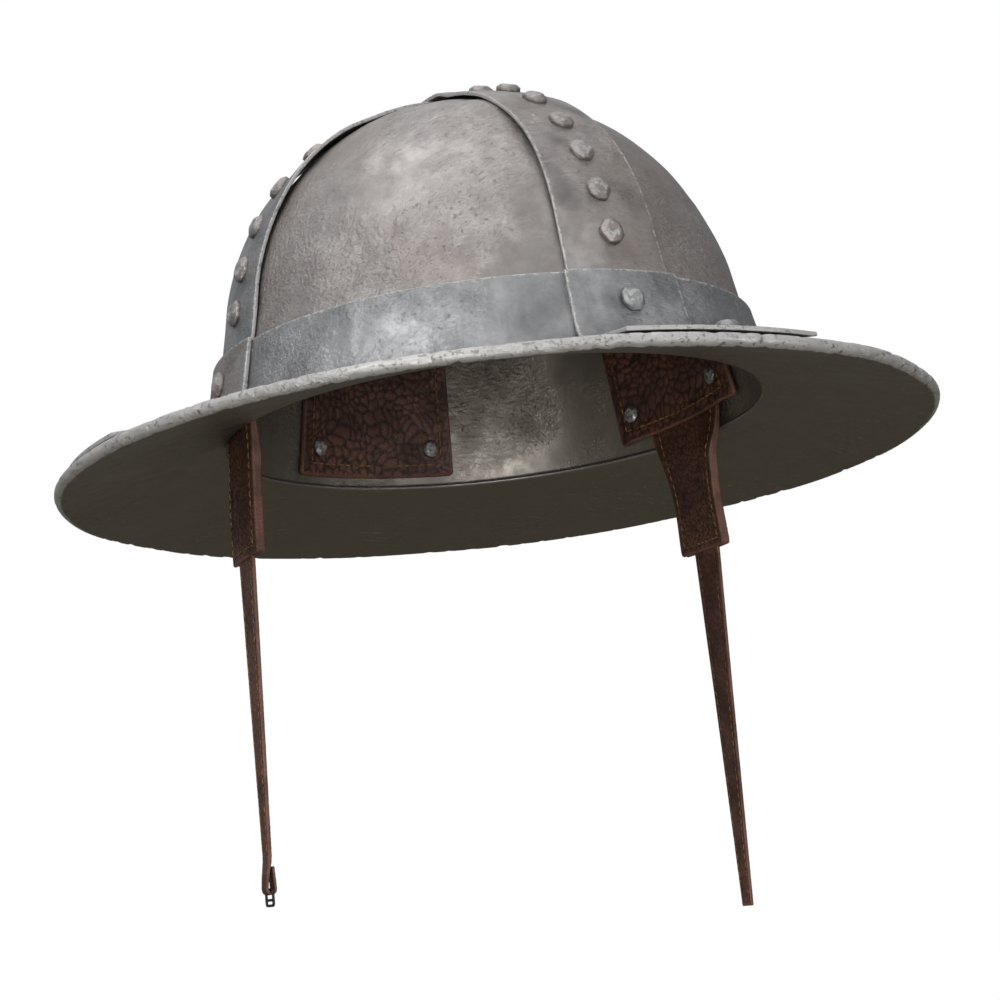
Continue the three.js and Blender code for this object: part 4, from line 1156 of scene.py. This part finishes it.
def strap_and_thread(place, length, sewn_length, seed):
    """A pebbled strap, and its thread along both edges of both faces."""
    width = 2 * STRAP_HALF_WIDTHS[0]

    def grain(s, t, front):
        return 0.5 * PEBBLE_DEPTH * pebbles(s, t, 0.6 * PEBBLE, seed + front)

    edges = {"edge": 0.6 * MM, "corner": 0.6 * MM, "wear": 2 * MM}
    strap = sheet(place, (length, width), CHIN_STRAP_SHEET, LEATHER_STEP, relief=grain, **edges)
    near, far = STRAP_STITCH_INSET, width - STRAP_STITCH_INSET
    lines = [((HIDDEN_LENGTH, t), (sewn_length, t)) for t in (near, far)]
    return strap, sewn_through(place, lines, CHIN_STRAP_SHEET, STRAP_THREAD)


def make_free_strap():
    """A straight sheet whose half width follows straight lines between the sections."""
    length = STRAP_DROPS[-1] - STRAP_DROPS[0]

    def place(s, t, h):
        drop = STRAP_DROPS[0] + s
        x = (t / STRAP_HALF_WIDTHS[0] - 1) * np.interp(drop, STRAP_DROPS, STRAP_HALF_WIDTHS)
        return hang(np.stack([x, h - CHIN_STRAP_SHEET / 2, -drop], axis=-1), 1)

    return strap_and_thread(place, length, length - 4 * MM, 500)


def make_loop_strap():
    """A sheet along a path: down to the buckle's bar, half a turn round it, and back up behind. The
    sheet's height is measured away from the bar, and it thins before it turns."""
    down = LOOP_DROP - STRAP_DROPS[0]
    half_turn = np.pi * LOOP_RADIUS
    drops = np.append(STRAP_DROPS[:3], LOOP_DROP)
    half_widths = np.append(STRAP_HALF_WIDTHS[:3], LOOP_HALF_WIDTH)

    def place(s, t, h):
        drop = np.minimum(STRAP_DROPS[0] + s, LOOP_DROP)
        x = (t / STRAP_HALF_WIDTHS[0] - 1) * np.interp(drop, drops, half_widths)
        near_bar = smoothstep(s, down - LOOP_BEND, down)
        thickness = CHIN_STRAP_SHEET + (LOOP_SHEET - CHIN_STRAP_SHEET) * near_bar
        rise = (h / CHIN_STRAP_SHEET - 0.5) * thickness
        angle = np.clip((s - down) / LOOP_RADIUS, 0, np.pi)
        back = np.maximum(s - down - half_turn, 0)
        away = LOOP_RADIUS * near_bar * (1 - 0.25 * smoothstep(back, 0, LOOP_RETURN))
        y = -(away + rise) * np.cos(angle)
        z = back - drop - (LOOP_RADIUS + rise) * np.sin(angle)
        return hang(np.stack([x, y, z], axis=-1), -1)

    return strap_and_thread(place, down + half_turn + LOOP_RETURN, down - LOOP_BEND, 510)


for side, (strap, sewn) in (("left", make_free_strap()), ("right", make_loop_strap())):
    add_piece(f"finished_chin_strap_{side}", strap, leather, [f"chin_strap_{side}"])
    add_piece(f"chin_strap_{side}_thread", sewn, thread)

# %% Buckle
BUCKLE_HALF_WIDTH = 4.8 * MM
BUCKLE_HEIGHT = 7.4 * MM
BUCKLE_BAR = 1.1 * MM
BUCKLE_CORNER = 1 * MM  # radius of the bar's middle line at the corners
CENTRE_BAR_DROP = 4.15 * MM
BAR_SIDES = 14
CORNER_STEPS = 7


def make_buckle():
    """A round bar along a rectangle with round corners, whose outward direction turns once round,
    and a flat centre bar."""
    half_width = BUCKLE_HALF_WIDTH - BUCKLE_BAR / 2
    half_height = (BUCKLE_HEIGHT - BUCKLE_BAR) / 2
    middle = -LOOP_DROP - half_height
    turn = np.linspace(0, np.pi / 2, CORNER_STEPS)
    angle = np.concatenate([quarter * np.pi / 2 + turn for quarter in range(4)])
    outward = np.stack([np.cos(angle), 0 * angle, np.sin(angle)], axis=-1)
    signs = np.sign(np.repeat([[1, 0, 1], [-1, 0, 1], [-1, 0, -1], [1, 0, -1]], CORNER_STEPS, axis=0))
    centres = signs * [half_width - BUCKLE_CORNER, 0, half_height - BUCKLE_CORNER] + [0, 0, middle]
    path = centres + BUCKLE_CORNER * outward
    around = np.linspace(0, 2 * np.pi, BAR_SIDES, endpoint=False)[:, None]
    ring = np.cos(around) * outward[:, None] + np.sin(around) * np.array([0, 1, 0])
    points = path[:, None] + BUCKLE_BAR / 2 * ring
    ids = np.arange(len(path) * BAR_SIDES).reshape(len(path), BAR_SIDES)
    quads = grid_quads(closed_ring(np.vstack([ids, ids[:1]])))
    zeros = np.zeros(points[..., 0].size)
    bar = shape(hang(points.reshape(-1, 3), -1), quads, wear=zeros, groove=zeros, under=zeros)

    def place(s, t, h):
        z = middle + half_height - CENTRE_BAR_DROP + t - BUCKLE_BAR / 2
        return hang(np.stack([s - half_width, h - BUCKLE_BAR / 2, z], axis=-1), -1)

    centre_bar = sheet(place, (2 * half_width, BUCKLE_BAR), BUCKLE_BAR, 0.5 * MM, 0.4 * MM)
    return joined([bar, centre_bar])


add_piece("finished_buckle", make_buckle(), black_steel, ["buckle"])

# %% [markdown]
# ## Floor, light and camera
# The hat is held up as on a head, so it hangs above a plain pale floor. A white studio lights it
# from above and from the front left, and the ground stays dark in its reflections, which with the
# darker colour painted on as shade gives the underside of the brim its depth. Two low lamps reach
# into the crown and leave the floor alone. An HDR photograph could light it too, but five
# softboxes need no file and can be moved.
# The camera looks up from below the brim, a little rolled.

# %% Floor
FLOOR_Z = -0.4
FLOOR_SIZE = 8.0


def make_floor():
    """One square of pale ground that the steel does not reflect."""
    half = FLOOR_SIZE / 2
    mesh = bpy.data.meshes.new("floor")
    outline = [(-half, -half), (half, -half), (half, half), (-half, half)]
    mesh.from_pydata([(x, y, FLOOR_Z) for x, y in outline], [], [(0, 1, 2, 3)])
    material, tree, surface = new_finish("pale_floor")
    dust = noise(tree, stretched(tree, (1, 1, 1)), 3, 6)
    colour = mix(tree, between(tree, dust, 0.3, 0.7), (0.82, 0.82, 0.81, 1), (0.86, 0.86, 0.85, 1))
    feed(tree, surface.inputs["Base Color"], colour)
    surface.inputs["Roughness"].default_value = 0.9
    mesh.materials.append(material)
    floor = bpy.data.objects.new("floor", mesh)
    bpy.context.scene.collection.objects.link(floor)
    floor.visible_glossy = False
    floor.visible_diffuse = False
    return floor


floor = make_floor()
print("the floor lies at", floor.data.vertices[0].co.z, "m")


# %% Light
def softbox(name, place, target, size, power):
    """A square area light that faces a target."""
    light = bpy.data.lights.new(name, "AREA")
    light.size = size
    light.energy = power
    lamp = bpy.data.objects.new(name, light)
    lamp.location = place
    lamp.rotation_euler = (Vector(target) - Vector(place)).to_track_quat("-Z", "Y").to_euler()
    bpy.context.scene.collection.objects.link(lamp)
    return lamp


HAT_MIDDLE = (0, 0, 0.05)
softbox("key", (-1.35, -0.9, 1.05), HAT_MIDDLE, 1.2, 14)
softbox("front", (0.7, -1.45, 1.15), HAT_MIDDLE, 0.9, 2.8)
softbox("top", (0.0, 0.15, 1.8), HAT_MIDDLE, 1.4, 9)
low_lamps = [
    softbox("low", (-0.62, -1.1, -0.3), HAT_MIDDLE, 0.6, 8),
    softbox("low right", (0.55, -1.2, -0.15), HAT_MIDDLE, 0.5, 3),
]
kept_dark = bpy.data.collections.new("not lit by the low lamps")
kept_dark.objects.link(floor)
kept_dark.collection_objects[0].light_linking.link_state = "EXCLUDE"
for lamp in low_lamps:
    lamp.light_linking.receiver_collection = kept_dark

world = bpy.data.worlds.new("studio")
bpy.context.scene.world = world
world.use_nodes = True
sky = world.node_tree
sky.nodes.clear()
direction = node(sky, "ShaderNodeTexCoord", {}).outputs["Generated"]
facing = node(sky, "ShaderNodeSeparateXYZ", {0: direction})
rise = facing.outputs["Z"]
glow = mix(sky, between(sky, rise, -0.4, 0.1), (0.21, 0.193, 0.162, 1), (0.22, 0.225, 0.23, 1))
glow = mix(sky, between(sky, rise, 0.1, 0.9), glow, (0.64, 0.65, 0.67, 1))
strength = between(sky, facing.outputs["X"], -0.9, 0.9, 1.1, 0.6)
lit = node(sky, "ShaderNodeBackground", {"Color": glow, "Strength": strength}).outputs[0]
seen = node(sky, "ShaderNodeBackground", {"Color": (1, 1, 1, 1), "Strength": 1.0}).outputs[0]
seen_first = node(sky, "ShaderNodeLightPath", {}).outputs["Is Camera Ray"]
both = node(sky, "ShaderNodeMixShader", {0: seen_first, 1: lit, 2: seen}).outputs[0]
node(sky, "ShaderNodeOutputWorld", {"Surface": both})
bpy.context.scene.view_settings.view_transform = "Standard"

# %% Camera
CAMERA_PLACE = Vector((-0.5013, -0.8897, -0.2352))
CAMERA_TARGET = Vector((-0.00124, 0.00070, -0.03096))
CAMERA_LENS = 89.34
CAMERA_ROLL = np.radians(6.8)  # the camera's top leans to its right

view = bpy.data.cameras.new("camera")
view.lens = CAMERA_LENS
view.sensor_width = 36
camera = bpy.data.objects.new("camera", view)
bpy.context.scene.collection.objects.link(camera)
bpy.context.scene.camera = camera
forward = (CAMERA_TARGET - CAMERA_PLACE).normalized()
sideways = forward.cross(Vector((0, 0, 1))).normalized()
upright = sideways.cross(forward)
top = sideways * np.sin(CAMERA_ROLL) + upright * np.cos(CAMERA_ROLL)
camera.rotation_euler = Matrix((forward.cross(top), top, -forward)).transposed().to_euler()
camera.location = CAMERA_PLACE
print("the camera is", round((CAMERA_TARGET - CAMERA_PLACE).length, 2), "m away")
